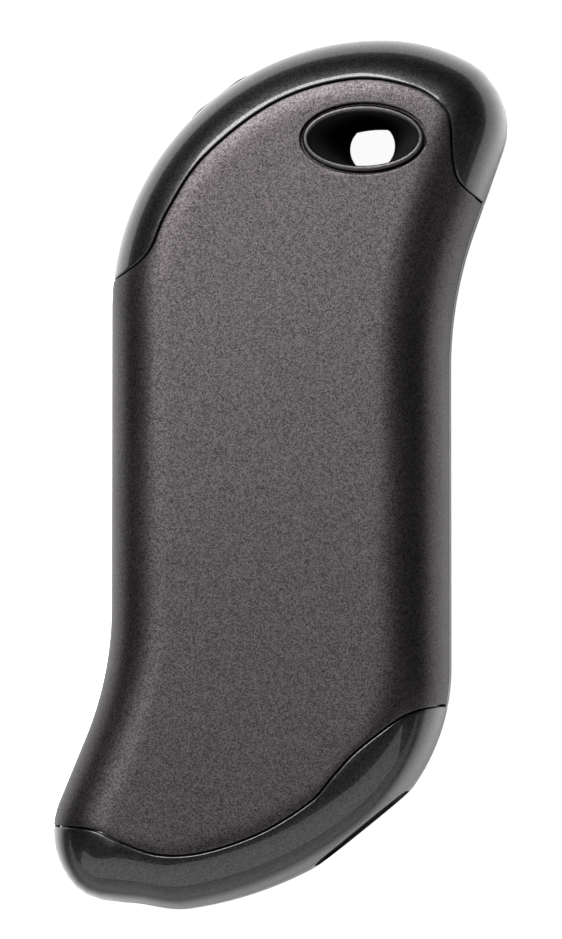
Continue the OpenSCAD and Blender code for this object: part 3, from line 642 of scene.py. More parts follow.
def window(mesh, body, sheet, k, block, hole, loops=10):
    """Adds a sheet with a hole in it. Rings of points lead from the rim of a block of cells to the loop of
    the hole: each is a mix of the two in plan, at the height of the face k inside the body."""
    r0, r1, c0, c1 = block
    rim = block_rim(sheet, block)
    q = np.linspace(0, 1, loops)[:, None, None]
    rings = body.dome(mix(rim[None, :, :2], hole[None, :, :2], q), k)[0]
    rings[0], rings[-1] = rim, hole
    skip = np.zeros((sheet.shape[0] - 1, sheet.shape[1] - 1), bool)
    skip[r0:r1, c0:c1] = True
    mesh.grid(sheet, skip=skip).grid(rings, wrap_columns=True)


def front(body):
    """Places a front piece: lifts it until its middle seam is at the body's half height."""
    return lambda p: p + body.mid_z * UP


def back(body):
    """Places a back piece: the front one mirrored in the middle seam."""
    return lambda p: p * [1, 1, -1] + body.mid_z * UP


def cut(obj, tools):
    """Takes closed tools away from a closed object, and removes them."""
    for tool in tools:
        step = obj.modifiers.new("cut", "BOOLEAN")
        step.operation, step.object, step.solver = "DIFFERENCE", tool, "MANIFOLD"
    shape = bpy.data.meshes.new_from_object(obj.evaluated_get(bpy.context.evaluated_depsgraph_get()))
    obj.modifiers.clear()
    old, obj.data = obj.data, shape
    bpy.data.meshes.remove(old)
    for tool in tools:
        mesh = tool.data
        bpy.data.objects.remove(tool)
        bpy.data.meshes.remove(mesh)
    return obj


def rounded(w, h, r, steps=10):
    """Rectangle with rounded corners, as a closed loop of plan points."""
    a = np.linspace(0, np.pi / 2, steps)
    corners = [np.array([x * (w / 2 - r), y * (h / 2 - r)]) + r * bearing(a + turn)
               for x, y, turn in ((1, 1, 0), (-1, 1, np.pi / 2), (-1, -1, np.pi), (1, -1, 1.5 * np.pi))]
    return np.concatenate(corners)


def capped(rows):
    """Rows of points, with one more at each end that lies in the middle of the row beside it."""
    first, last = (np.broadcast_to(rows[i].mean(axis=0), rows[i].shape) for i in (0, -1))
    return np.stack([first, *rows, last])


def prism(name, loop, x0, x1, centre, turn):
    """A tool: a closed loop in a frame's y and z, carried from x0 to x1 along the frame's x, which points
    out through the edge at a bearing."""
    out, side = np.r_[bearing(turn), 0], np.r_[bearing(turn + np.pi / 2), 0]
    rows = [centre + x * out + loop[:, :1] * side + loop[:, 1:] * UP for x in (x0, x1)]
    return Mesh().grid(capped(rows), wrap_columns=True).build(name)


# Materials


class Tree:
    """Short hand for the nodes of a material, a world or a group."""

    def __init__(self, tree):
        self.tree = tree

    def add(self, kind, inputs=(), **settings):
        """A node: inputs maps a socket's name or number to a value or to another node's output."""
        made = self.tree.nodes.new(kind)
        for key, value in settings.items():
            setattr(made, key, value)
        for key, value in dict(inputs).items():
            if isinstance(value, bpy.types.NodeSocket):
                self.tree.links.new(value, made.inputs[key])
            else:
                made.inputs[key].default_value = value
        return made

    def effect(self, shared, position, **inputs):
        """The outputs of a shared node group that gets a position and values of its own."""
        return self.add("ShaderNodeGroup", {"Position": position} | inputs, node_tree=shared).outputs

    def math(self, operation, *values, clamp=False):
        inputs = dict(enumerate(values))
        return self.add("ShaderNodeMath", inputs, operation=operation, use_clamp=clamp).outputs[0]

    def scaled(self, vector, level):
        """A vector or colour times a level."""
        return self.add("ShaderNodeVectorMath", {0: vector, 3: level}, operation="SCALE").outputs[0]

    def noise(self, vector, scale, detail=3.0, rough=0.5):
        """Soft noise that is about a half, with scale waves to a metre."""
        return self.add("ShaderNodeTexNoise", {"Vector": vector, "Scale": scale, "Detail": detail,
                                               "Roughness": rough}).outputs["Fac"]

    def ramp(self, value, low, high, to_low=0.0, to_high=1.0):
        """Goes evenly from to_low to to_high while the value goes from low to high, and stays there."""
        return self.add("ShaderNodeMapRange", {"Value": value, "From Min": low, "From Max": high,
                                               "To Min": to_low, "To Max": to_high}).outputs["Result"]

    def blend(self, share, a, b):
        """A mix of two colours, whose sockets on a mix node are numbers 6 and 7, and the result's is 2."""
        return self.add("ShaderNodeMix", {"Factor": share, 6: a, 7: b}, data_type="RGBA").outputs[2]


def group(name, inputs, outputs, fill):
    """A shader node group, built once: inputs and outputs map names to (socket type, default)."""
    if name in bpy.data.node_groups:
        return bpy.data.node_groups[name]
    made = bpy.data.node_groups.new(name, "ShaderNodeTree")
    for sockets, way in ((inputs, "INPUT"), (outputs, "OUTPUT")):
        for label, (kind, default) in sockets.items():
            socket = made.interface.new_socket(label, in_out=way, socket_type=kind)
            if default is not None:
                socket.default_value = default
    tree = Tree(made)
    results = fill(tree, tree.add("NodeGroupInput").outputs)
    end = tree.add("NodeGroupOutput")
    for label, value in results.items():
        made.links.new(value, end.inputs[label])
    return made


FLOAT, VECTOR, COLOUR = "NodeSocketFloat", "NodeSocketVector", "NodeSocketColor"


def varied(tree, given, value, low, high):
    """The group's colour, darker by its contrast where a value is low and lighter where it is high."""
    darkest = tree.math("SUBTRACT", 1.0, given["Contrast"])
    lightest = tree.math("ADD", 1.0, given["Contrast"])
    return tree.scaled(given["Color"], tree.ramp(value, low, high, darkest, lightest))


def flake_group(mottled=0.08):
    """Fine metallic grain: small cells, each with its own brightness, under a softer mottle."""

    def fill(tree, given):
        position, scale = given["Position"], given["Scale"]
        cells = tree.add("ShaderNodeTexVoronoi", {"Vector": position, "Scale": scale}, feature="F1")
        spark = tree.add("ShaderNodeSeparateColor", {"Color": cells.outputs["Color"]}).outputs[0]
        mottle = tree.noise(position, tree.math("MULTIPLY", scale, 0.35), 2.0)
        both = tree.math("ADD", tree.math("MULTIPLY", spark, 1 - mottled),
                         tree.math("MULTIPLY", mottle, mottled))
        return {"Color": varied(tree, given, both, 0.0, 1.0), "Mask": both}

    return group("Flake", {"Position": (VECTOR, None), "Color": (COLOUR, None), "Scale": (FLOAT, 5000.0),
                           "Contrast": (FLOAT, 0.25)}, {"Color": (COLOUR, None), "Mask": (FLOAT, None)}, fill)


def handling_group():
    """Handling marks: broad soft smears and a little dust, as a roughness."""

    def fill(tree, given):
        position, scale = given["Position"], given["Scale"]
        smear = tree.ramp(tree.noise(position, scale, 4.0, 0.55), 0.42, 0.68)
        specks = tree.noise(position, tree.math("MULTIPLY", scale, 24.0), 2.0)
        mask = tree.math("ADD", smear, tree.ramp(specks, 0.66, 0.78, 0.0, 0.35), clamp=True)
        return {"Roughness": tree.ramp(mask, 0.0, 1.0, given["Clean"], given["Marked"])}

    return group("Handling", {"Position": (VECTOR, None), "Scale": (FLOAT, 60.0), "Clean": (FLOAT, 0.1),
                              "Marked": (FLOAT, 0.2)}, {"Roughness": (FLOAT, None)}, fill)


def moulded_group():
    """Moulded or coated skin: a fine even texture as a height, and a slight change of shade."""

    def fill(tree, given):
        position, scale = given["Position"], given["Scale"]
        fine = tree.noise(position, scale, 3.0, 0.6)
        broad = tree.noise(position, tree.math("MULTIPLY", scale, 0.03), 2.0)
        colour = varied(tree, given, tree.math("ADD", fine, broad), 0.7, 1.3)
        return {"Color": colour, "Height": fine}

    return group("Moulded", {"Position": (VECTOR, None), "Color": (COLOUR, None), "Scale": (FLOAT, 3000.0),
                             "Contrast": (FLOAT, 0.1)}, {"Color": (COLOUR, None), "Height": (FLOAT, None)},
                 fill)


def cleared(owner):
    """The nodes of a material or world, with none in them yet."""
    owner.use_nodes = True
    owner.node_tree.nodes.clear()
    return Tree(owner.node_tree)


def new_material(name):
    """A material, its nodes and the place on the object that its patterns read."""
    made = bpy.data.materials.new(name)
    tree = cleared(made)
    return made, tree, tree.add("ShaderNodeTexCoord").outputs["Object"]


def finish_material(tree, inputs, height=None, bump=0.1, reach=0.02 * MM):
    """Ends a material in a Principled shader, with a height over its normal where one is given."""
    if height is not None:
        relief = tree.add("ShaderNodeBump", {"Strength": bump, "Distance": reach, "Height": height})
        inputs["Normal"] = relief.outputs["Normal"]
    shader = tree.add("ShaderNodeBsdfPrincipled", inputs)
    tree.add("ShaderNodeOutputMaterial", {"Surface": shader.outputs[0]})


def heat_cover_material(name, looks):
    """Bead blasted and anodised metal: satin, with a fine sparkle."""
    made, tree, position = new_material(name)
    flake = tree.effect(flake_group(), position, Color=looks.cover, Scale=7000.0, Contrast=0.7)
    marks = tree.effect(handling_group(), position, Scale=45.0, Clean=0.42, Marked=0.46)
    inputs = {"Base Color": flake["Color"], "Metallic": 1.0, "Roughness": marks["Roughness"]}
    finish_material(tree, inputs, flake["Mask"], bump=0.35, reach=0.01 * MM)
    return made


def gloss_material(name, looks):
    """Dark metallic plastic under a deep clear gloss."""
    made, tree, position = new_material(name)
    flake = tree.effect(flake_group(), position, Color=looks.gloss, Scale=6200.0, Contrast=0.6)
    marks = tree.effect(handling_group(), position, Scale=60.0, Clean=0.36, Marked=0.42)
    inputs = {"Base Color": flake["Color"], "Metallic": 0.9, "Roughness": marks["Roughness"]}
    coat = {"Coat Weight": 1.0, "Coat Roughness": 0.03, "Coat IOR": 1.4}
    finish_material(tree, inputs | coat)
    return made


def eyelet_material(name, looks):
    """Moulded sleeve: black and dull inside, so that hardly any light comes off its wall, with a gunmetal
    coat on the rim. The coat comes in from 0.5 to 0.3 mm below each face."""
    made, tree, position = new_material(name)
    face = looks.id_data.hand_warmer_body.thickness / 2
    height = tree.add("ShaderNodeSeparateXYZ", {0: position}).outputs["Z"]
    middle = tree.math("ABSOLUTE", tree.math("SUBTRACT", height, face))
    rim = tree.ramp(middle, face - 0.5 * MM, face - 0.3 * MM)
    colour = tree.blend(rim, looks.black, looks.rim)
    skin = tree.effect(flake_group(), position, Color=colour, Scale=4200.0, Contrast=0.2)
    rough = tree.ramp(rim, 0.0, 1.0, 0.75, 0.36)
    finish_material(tree, {"Base Color": skin["Color"], "Metallic": rim, "Roughness": rough, "IOR": 1.02})
    return made


def plastic_material(name, rgb, rough, scale=3000.0, bump=0.2, contrast=0.1, metallic=0.0):
    """Moulded plastic, board, foam or plated metal, with its own grain."""
    made, tree, position = new_material(name)
    colour = tuple(rgb)[:3] + (1,)
    skin = tree.effect(moulded_group(), position, Color=colour, Scale=scale, Contrast=contrast)
    marks = tree.effect(handling_group(), position, Scale=90.0, Clean=rough, Marked=min(rough + 0.1, 1.0))
    inputs = {"Base Color": skin["Color"], "Metallic": metallic, "Roughness": marks["Roughness"]}
    finish_material(tree, inputs, skin["Height"], bump)
    return made


def material_for(slot, looks):
    """The finish of a material slot of the record, built once."""
    name = slot + "_finish"
    if name in bpy.data.materials:
        return bpy.data.materials[name]
    special = {"heat_cover": heat_cover_material, "eyelet": eyelet_material, "gloss_shell": gloss_material,
               "button": gloss_material}
    if slot in special:
        return special[slot](name, looks)
    black, metal = looks.black, looks.metal
    plain = {
        "port_panel": dict(rgb=black, rough=0.45, scale=4000.0),
        "port_plastic": dict(rgb=black, rough=0.5),
        "port_metal": dict(rgb=metal, rough=0.25, metallic=1.0, bump=0.05, contrast=0.05),
        "circuit_board": dict(rgb=(0.01, 0.09, 0.04), rough=0.35),
        "led": dict(rgb=(0.8, 0.8, 0.72), rough=0.2),
        "light_guide": dict(rgb=(0.75, 0.77, 0.78), rough=0.18),
        "cell_wrap": dict(rgb=(0.02, 0.07, 0.22), rough=0.3),
        "cradle": dict(rgb=(0.62, 0.6, 0.55), rough=0.5),
        "foam": dict(rgb=(0.03, 0.03, 0.035), rough=0.9, scale=1500.0, bump=0.6),
        "nickel": dict(rgb=(0.55, 0.53, 0.5), rough=0.3, metallic=1.0),
        "heater_film": dict(rgb=(0.42, 0.17, 0.03), rough=0.3),
        "wire_white": dict(rgb=(0.7, 0.7, 0.68), rough=0.45),
        "wire_red": dict(rgb=(0.45, 0.02, 0.02), rough=0.4),
        "wire_black": dict(rgb=(0.02, 0.02, 0.02), rough=0.4),
        "wire_grey": dict(rgb=(0.15, 0.15, 0.15), rough=0.4),
        "ferrite": dict(rgb=(0.05, 0.05, 0.055), rough=0.6),
        "chip": dict(rgb=(0.02, 0.02, 0.022), rough=0.5),
        "ceramic_part": dict(rgb=(0.42, 0.35, 0.25), rough=0.45),
        "screw_steel": dict(rgb=(0.35, 0.35, 0.36), rough=0.28, metallic=1.0),
    }
    return plastic_material(name, **plain[slot])


def dress(obj, slot, body, nodes, looks):
    """Gives a piece its finish and its body, and hides the CAD nodes that it stands for."""
    obj.data.materials.clear()
    obj.data.materials.append(material_for(slot, looks))
    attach(obj, body)
    if nodes:
        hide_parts(*nodes)


# Operators


class HANDWARMER_OT_covers(Operator):
    """Makes the two heat covers: thin rolled sheets that lie flush in the mouldings"""

    bl_idname = "hand_warmer.covers"
    bl_label = "Heat Covers"

    def execute(self, context):
        scene = context.scene
        body, shell, eye = Body(scene), scene.hand_warmer_shell, scene.hand_warmer_eye
        centre, a, b = eye_oval(eye, eye.groove)
        r, t = shell.cover_edge, shell.cover_t
        edge = Border(body, shell, shell.seam_gap + r).ring()
        normal, outward = frames(body, edge)
        rim = lip(edge, normal, outward, r, t)
        face, under = sheet_over(body, edge, 0.0), sheet_over(body, rim[-1], t)
        block, angles = eye_block(face, centre, a, b)
        hole = body.dome(oval(centre, a + r, b + r, angles))[0]
        towards = to(np.c_[centre - hole[:, :2], np.zeros(len(hole))])
        mouth = lip(hole, body.dome(hole[:, :2])[1], towards, r, t)
        for name, place, node in (("heat_cover_front", front(body), "front_cover"),
                                  ("heat_cover_back", back(body), "back_cover")):
            mesh = Mesh()
            window(mesh, body, face, 0.0, block, mouth[0])
            window(mesh, body, under, t, block, mouth[-1])
            mesh.grid(rim, wrap_columns=True).grid(mouth, wrap_columns=True)
            dress(shade(mesh.build(name, place)), "heat_cover", "housing", [node], scene.hand_warmer_looks)
        return {"FINISHED"}


class HANDWARMER_OT_mouldings(Operator):
    """Makes the two gloss mouldings that meet on the middle seam, with their recesses and openings"""

    bl_idname = "hand_warmer.mouldings"
    bl_label = "Mouldings"
    # Rows of points up the gloss strip, up the inner wall, and round the edge at the middle seam
    SIDE_ROWS, INNER_ROWS, BEAD_ROWS = 22, 7, 4
    # How far up the roll the inner wall goes before the lining closes it
    INNER_TURN = np.radians(50)
    # How far the tongue stands off the inner wall
    TONGUE_INSET = 0.1 * MM

    def execute(self, context):
        scene = context.scene
        body, shell, eye = Body(scene), scene.hand_warmer_shell, scene.hand_warmer_eye
        centre, a, b = eye_oval(eye, shell.fit)
        wall = shell.shell_t
        edge = Border(body, shell, -shell.shell_edge).ring()
        normal, outward = frames(body, edge)
        step = lip(edge, normal, -outward, shell.shell_edge, shell.recess)
        floor = sheet_over(body, step[-1], shell.recess)
        block, angles = eye_block(floor, centre, a, b)
        hole = oval(centre, a, b, angles)
        upper, lower = body.dome(hole, shell.recess)[0], body.dome(hole, wall)[0]
        d, inward, _ = body.inset(edge[:, :2])
        foot = edge[:, :2] - inward * d[:, None]
        side = self.side(body, shell, edge, d, foot, inward)
        for name, place, node, joint in (
                ("moulding_front", front(body), "front_housing", self.tongue(shell)),
                ("moulding_back", back(body), "back_housing", self.groove(shell))):
            inner = self.inner_side(body, wall, joint[-1][1], foot, inward)
            seam = self.seam(shell, joint, foot, inward)
            seam[0], seam[-1] = side[0], inner[0]
            mesh = Mesh()
            for rows in (side, step, seam, inner, np.stack([upper, lower])):
                mesh.grid(rows, wrap_columns=True)
            lining = sheet_over(body, inner[-1], wall)
            window(mesh, body, floor, shell.recess, block, upper)
            window(mesh, body, lining, wall, block, lower)
            obj = cut(mesh.build(name, place), edge_openings(scene, body))
            dress(shade(obj), "gloss_shell", "housing", [node], scene.hand_warmer_looks)
        return {"FINISHED"}

    def side(self, body, shell, edge, d, foot, inward):
        """The gloss strip: rows of the roll from the rounded edge at the middle seam up to the heat cover."""
        low = body.turn_at_height(np.array(shell.seam_edge))
        top = np.where(edge[:, 2] < LOW_ROLL, body.turn_at_height(edge[:, 2]), body.turn_at_inset(d))
        t = mix(low, top[None], np.linspace(0, 1, self.SIDE_ROWS)[:, None])
        rows = body.roll(np.broadcast_to(foot, t.shape + (2,)), inward, t)
        rows[-1] = edge
        return rows

    def inner_side(self, body, wall, height, foot, inward):
        """The inner wall: rows of the roll a wall's depth inside, from a height over the middle seam."""
        start = body.turn_at_height(np.array(height + 1e-9), wall)
        t = np.broadcast_to(np.linspace(start, self.INNER_TURN, self.INNER_ROWS)[:, None],
                            (self.INNER_ROWS, len(foot)))
        rows = body.roll(np.broadcast_to(foot, t.shape + (2,)), inward, t, wall)
        rows[0, :, 2] = height
        return rows

    def tongue(self, shell):
        """Steps of the front half on the middle seam, as (distance inside the edge, height): a tongue."""
        inner = shell.shell_t - self.TONGUE_INSET
        outer, low = inner - shell.tongue_t, -shell.tongue_h
        return [(outer, 0), (outer, low), (inner, low), (inner, 0), (shell.shell_t, 0)]

    def groove(self, shell):
        """The same of the back half: room for the tongue, open to the inside."""
        outer = shell.shell_t - self.TONGUE_INSET - shell.tongue_t - shell.fit
        top = shell.tongue_h + shell.fit
        return [(outer, 0), (outer, top), (shell.shell_t, top)]

    def seam(self, shell, joint, foot, inward):
        """Rows across the middle seam: the rounded edge r (1 - cos(t)) inside at the height r (1 - sin(t)),
        then the steps of the joint."""
        t = np.linspace(0, np.pi / 2, self.BEAD_ROWS)
        bead = np.c_[1 - np.cos(t), 1 - np.sin(t)] * shell.seam_edge
        return np.stack([np.c_[foot + inward * d, np.full(len(foot), z)] for d, z in [*bead, *joint]])


def port_frame(scene, body):
    """Origin on the flat for the ports, midway between the flat's ends on the back arc and the sole arc and
    at the middle seam's height, and the bearing out of it."""
    ports, foot = scene.hand_warmer_ports, scene.hand_warmer_foot
    shift = (np.sqrt(2 * foot.crown_r * ports.flat) - np.sqrt(2 * foot.back_r * ports.flat)) / 2
    centre = (-body.centres(foot)[0] + (foot.back_r - ports.flat) * bearing(ports.turn)
              + shift * bearing(ports.turn - np.pi / 2))
    return np.r_[centre, body.mid_z], ports.turn


def button_frame(scene, body):
    """Centre of the hood's back arc, at the middle seam's height, and the power button's bearing."""
    return np.r_[body.centres(scene.hand_warmer_hood)[0], body.mid_z], scene.hand_warmer_button.turn


# The flat's tool: half its width, and how far it stands over the edge
FLAT_HALF, FLAT_OVER = 20 * MM, 10 * MM
# The tools of the ports' opening and of the button and lights: how deep they go, through the wall, and how
# far they stand over the edge
PORTS_DEEP, PORTS_OVER = 6 * MM, 1 * MM
BUTTON_DEEP, BUTTON_OVER = 5 * MM, 3 * MM


def edge_openings(scene, body):
    """Tools for the flat, the ports' opening, the button's opening and the lights' holes."""
    ports, button, shell = scene.hand_warmer_ports, scene.hand_warmer_button, scene.hand_warmer_shell
    origin, turn = port_frame(scene, body)
    square = np.array([[-1, -1], [1, -1], [1, 1], [-1, 1]]) * FLAT_HALF
    opening = rounded(ports.panel_w + 2 * shell.fit, ports.panel_h + 2 * shell.fit, ports.panel_r)
    tools = [prism("flat", square, 0, FLAT_OVER, origin, turn),
             prism("ports", opening, -PORTS_DEEP, PORTS_OVER, origin, turn)]
    centre, turn = button_frame(scene, body)
    slot = rounded(button.length + 2 * button.slide, button.height + 2 * button.slide,
                   button.height / 2 + button.slide, 16)
    circle = button.light_r * bearing(np.linspace(0, 2 * np.pi, 32, endpoint=False))
    lights = [turn + button.first_light + i * button.light_step for i in range(button.lights)]
    r = scene.hand_warmer_hood.back_r
    for name, loop, at in [("button", slot, turn)] + [("light", circle, at) for at in lights]:
        tools.append(prism(name, loop, r - BUTTON_DEEP, r + BUTTON_OVER, centre, at))
    return tools


class HANDWARMER_OT_eyelets(Operator):
    """Makes the lanyard eye: a flared sleeve with a rounded rim in each face"""

    bl_idname = "hand_warmer.eyelets"
    bl_label = "Lanyard Eye"
    POINTS = 160
    RIM_POINTS = 21
    FLARE_STEPS = 25
    # Clearance between the two sleeves' ends, and how far before the throat's start the back flare ends
    MEETING, BACK_STRAIGHT = 0.05 * MM, 1 * MM
    # The step by which the flare ends wider than the throat, its depth, and the wall round the throat
    STEP_OUT, STEP_DOWN, WALL = 0.2 * MM, 0.1 * MM, 1.1 * MM
    # How deep the rim's rounding goes, its squareness, and how far the flare's curve bulges
    RIM_DEPTH, RIM_POWER, BULGE = 0.3 * MM, 3.5, 0.72
    # The outside's shoulder: how far in from the rim along and across the eye, and how deep
    SHOULDER = np.array([1, 0.4, 3]) * MM

    def execute(self, context):
        scene = context.scene
        body, shell, eye = Body(scene), scene.hand_warmer_shell, scene.hand_warmer_eye
        start, end = body.mid_z - eye.throat_l / 2, body.mid_z + eye.throat_l / 2
        rows = (("eyelet_front", front(body), "front_eyelet", end, start, eye.front_rise),
                ("eyelet_back", back(body), "back_eyelet", start - self.MEETING, start - self.BACK_STRAIGHT,
                 eye.back_rise))
        for name, place, node, depth, flare, rise in rows:
            sleeve = self.sleeve(body, shell, eye, depth, flare, rise)
            mesh = Mesh().grid(sleeve, wrap_rows=True, wrap_columns=True)
            dress(shade(mesh.build(name, place), 40), "eyelet", "housing", [node], scene.hand_warmer_looks)
        return {"FINISHED"}

    def sleeve(self, body, shell, eye, depth, flare, rise):
        """Ovals along a closed profile: up the outside, over the rim, down the flare and on to a depth. The
        rim's height over its width is (1 - |x|^n)^(1/n), with x from -1 to 1 and n its squareness. The flare
        goes from the rim's oval to the throat's circle by (1 + bulge) q - bulge q^2, with q the share of
        its depth."""
        centre, a, b = eye_oval(eye, 0)
        throat = eye.throat_r
        mouth, outside = throat + self.STEP_OUT, throat + self.WALL
        sunk = min(rise, 0) - self.RIM_DEPTH
        x = np.cos(np.linspace(np.pi, 0, self.RIM_POINTS))
        crown = (1 - np.abs(x) ** self.RIM_POWER) ** (1 / self.RIM_POWER)
        rim, height = eye.rim / 2 * (1 + x), mix(sunk, rise, crown)
        q = np.linspace(0, 1, self.FLARE_STEPS + 1)[1:]
        share = (1 + self.BULGE) * q - self.BULGE * q**2
        flared = np.c_[mix(a - eye.rim, mouth, share), mix(b - eye.rim, mouth, share), mix(sunk, -flare, q)]
        profile = np.concatenate([
            [[outside, outside, -depth], np.array([a, b, 0]) - self.SHOULDER, [a, b, -shell.shell_t]],
            np.c_[a - rim, b - rim, height],
            flared,
            [[throat, throat, -flare - self.STEP_DOWN], [throat, throat, -depth]],
        ])
        angles = np.linspace(0, 2 * np.pi, self.POINTS, endpoint=False)
        plan = centre + profile[:, None, :2] * bearing(angles)[None]
        return np.dstack([plan, np.broadcast_to((body.h + profile[:, 2])[:, None], plan.shape[:2])])


class HANDWARMER_OT_button(Operator):
    """Makes the power button: a pill shaped cap that follows the hood's curve"""

    bl_idname = "hand_warmer.button"
    bl_label = "Power Button"
    EDGE_R = 0.45 * MM
    # The flange that keeps the button in: how far it stands out, its thickness and its play under the wall
    FLANGE_W, FLANGE_T, FLANGE_PLAY = 0.9 * MM, 1.2 * MM, 0.6 * MM
    # How far in the top's first and last loops lie, as shares of the half height
    FIRST_LOOP, LAST_LOOP = 0.999, 0.2

    def execute(self, context):
        scene = context.scene
        body, button = Body(scene), scene.hand_warmer_button
        centre, turn = button_frame(scene, body)
        out, side = np.r_[bearing(turn), 0], np.r_[bearing(turn + np.pi / 2), 0]
        top, half = scene.hand_warmer_hood.back_r + button.rise, button.height / 2
        flange = button.rise + scene.hand_warmer_shell.shell_t + self.FLANGE_PLAY
        rows = []
        for inset, drop in self.profile(half, flange):
            loop = rounded(button.length - 2 * inset, button.height - 2 * inset, half - inset, 14)
            x = np.sqrt(top**2 - loop[:, 0] ** 2) - drop
            rows.append(centre + x[:, None] * out + loop[:, :1] * side + loop[:, 1:] * UP)
        obj = Mesh().grid(capped(rows), wrap_columns=True).build("power_button_cap")
        dress(shade(obj), "button", "button", ["power_button"], scene.hand_warmer_looks)
        return {"FINISHED"}

    def profile(self, half, flange):
        """Loops of the cap as (distance inside its outline, depth under its top): the top, an edge rounded
        by r (1 - sin(x)) inside at the depth r (1 - cos(x)), the wall down to the flange, and the flange."""
        x = np.linspace(0, np.pi / 2, 6)
        under = flange + self.FLANGE_T
        top = [(half * q, 0.0) for q in np.linspace(self.FIRST_LOOP, self.LAST_LOOP, 10)]
        edge = list(zip(self.EDGE_R * (1 - np.sin(x)), self.EDGE_R * (1 - np.cos(x))))
        return top + edge + [(0.0, flange), (-self.FLANGE_W, flange), (-self.FLANGE_W, under),
                             (half * self.FIRST_LOOP, under)]


def bevelled(node, name, width, segments=2, flat=np.radians(1), corner=np.radians(40)):
    """A copy of a CAD node with rounded edges. Its loose triangles are merged, neighbours whose angle is
    less than flat become one face, and edges sharper than corner are rounded."""
    mesh = frame["nodes"][node].data.copy()
    work = bmesh.new()
    work.from_mesh(mesh)
    bmesh.ops.remove_doubles(work, verts=work.verts, dist=1e-6)
    bmesh.ops.dissolve_limit(work, angle_limit=flat, verts=work.verts, edges=work.edges)
    work.to_mesh(mesh)
    work.free()
    mesh.name = name
    obj = bpy.data.objects.new(name, mesh)
    bpy.context.scene.collection.objects.link(obj)
    edge = obj.modifiers.new("edges", "BEVEL")
    edge.width, edge.segments = width, segments
    edge.limit_method, edge.angle_limit = "ANGLE", corner
    edge.harden_normals = True
    return shade(obj, 35)


class HANDWARMER_OT_ports(Operator):
    """Makes the port panel and the sockets behind it"""

    bl_idname = "hand_warmer.ports"
    bl_label = "Ports"

    def execute(self, context):
        for node, name, slot, width in (
                ("port_panel", "port_plate", "port_panel", 0.25 * MM),
                ("outlet_shell", "outlet_can", "port_metal", 0.08 * MM),
                ("inlet_shell", "inlet_can", "port_metal", 0.06 * MM),
                ("outlet_tongue", "outlet_insert", "port_plastic", 0.1 * MM),
                ("inlet_tongue", "inlet_insert", "port_plastic", 0.08 * MM)):
            obj = bevelled(node, name, width)
            dress(obj, slot, "housing", [node], context.scene.hand_warmer_looks)
        return {"FINISHED"}


class HANDWARMER_OT_inside(Operator):
    """Gives every CAD part that stays as it is the finish of its own slot"""

    bl_idname = "hand_warmer.inside"
    bl_label = "Inner Parts"

    def execute(self, context):
        slots = {part["node"]: part["material_slot"] for part in frame["record"]["subparts"]}
        for name, obj in frame["nodes"].items():
            made = material_for(slots[name], context.scene.hand_warmer_looks)
            for slot in obj.material_slots:
                slot.material = made
        return {"FINISHED"}


class HANDWARMER_OT_stage(Operator):
    """Makes the pale table, the soft lights and the camera"""

    bl_idname = "hand_warmer.stage"
    bl_label = "Stage"
    TABLE_HALF = 8.0
    # Each soft light: where it stands, its width and its height
    OVERHEAD = (-0.25, 0.48, 0.84), 0.54, 0.54
    NEAR = (0, -1.3, 0.68), 5.0, 1.45
    SENSOR = 24

    def execute(self, context):
        scene = context.scene
        stage, looks = scene.hand_warmer_stage, scene.hand_warmer_looks
        mid = scene.hand_warmer_body.thickness / 2
        corners = np.array([[-1, -1, 0], [1, -1, 0], [1, 1, 0], [-1, 1, 0]]) * self.TABLE_HALF
        mesh = bpy.data.meshes.new("table")
        mesh.from_pydata(corners.tolist(), [], [(0, 1, 2, 3)])
        table = bpy.data.objects.new("table", mesh)
        scene.collection.objects.link(table)
        mesh.materials.append(table_material(looks))
        soft_light(scene, "overhead", stage.top_power, *self.OVERHEAD)
        soft_light(scene, "near", stage.near_power, *self.NEAR)
        scene.world = bpy.data.worlds.new("room")
        tree = cleared(scene.world)
        room = tree.add("ShaderNodeBackground", {"Color": (1, 1, 1, 1), "Strength": stage.world})
        tree.add("ShaderNodeOutputWorld", {"Surface": room.outputs[0]})
        camera = bpy.data.cameras.new("camera")
        camera.sensor_fit, camera.sensor_height = "VERTICAL", self.SENSOR
        place = np.array([stage.camera_x, stage.camera_y, mid + stage.camera_z])
        aim = np.array([stage.aim_x, stage.aim_y, mid])
        camera.lens = camera.sensor_height * np.linalg.norm(place - aim) / stage.view_h
        camera.clip_start, camera.clip_end = 0.01, 20
        holder = bpy.data.objects.new("camera", camera)
        scene.collection.objects.link(holder)
        holder.matrix_world = looking(place, aim, (0, 1, 0))
        scene.camera = holder
        scene.view_settings.view_transform = "Standard"
        return {"FINISHED"}


def looking(place, aim, up):
    """The matrix of a thing at a place that looks at a point, with a direction up in its picture."""
    place = np.array(place, float)
    away = to(place - aim)
    right = to(np.cross(up, away))
    m = np.eye(4)
    m[:3] = np.stack([right, np.cross(away, right), away, place], axis=1)
    return Matrix(m.tolist())


def soft_light(scene, name, power, place, width, height):
    """An area light that faces the hand warmer."""
    lamp = bpy.data.lights.new(name, "AREA")
    lamp.shape, lamp.size, lamp.size_y, lamp.energy = "RECTANGLE", width, height, power
    holder = bpy.data.objects.new(name, lamp)
    scene.collection.objects.link(holder)
    holder.matrix_world = looking(place, np.zeros(3), UP)


# Painted pool of light on the table, which mirrors and bounced light see: its middle, how far it is fully
# pale and where it is dim
PAINTED_POOL_MIDDLE, PAINTED_POOL_FULL, PAINTED_POOL_DIM = (2 * MM, 26 * MM, 0), 98 * MM, 122 * MM
# Painted strip of light: beyond a line on the near side the table is pale again, by a share: from where, and
# where it is dim
PAINTED_STRIP_FULL, PAINTED_STRIP_DIM, PAINTED_STRIP_SHARE = -105 * MM, -75 * MM, 0.6
# Share of the pale colour where the painted pool is dim, how strongly the table glows to the camera, and how
# strongly it glows to mirrors in the pool, a painted reflection
DIM_SHARE, CAMERA_GLOW, PAINTED_REFLECTION_GLOW = 0.06, 0.95, 0.15


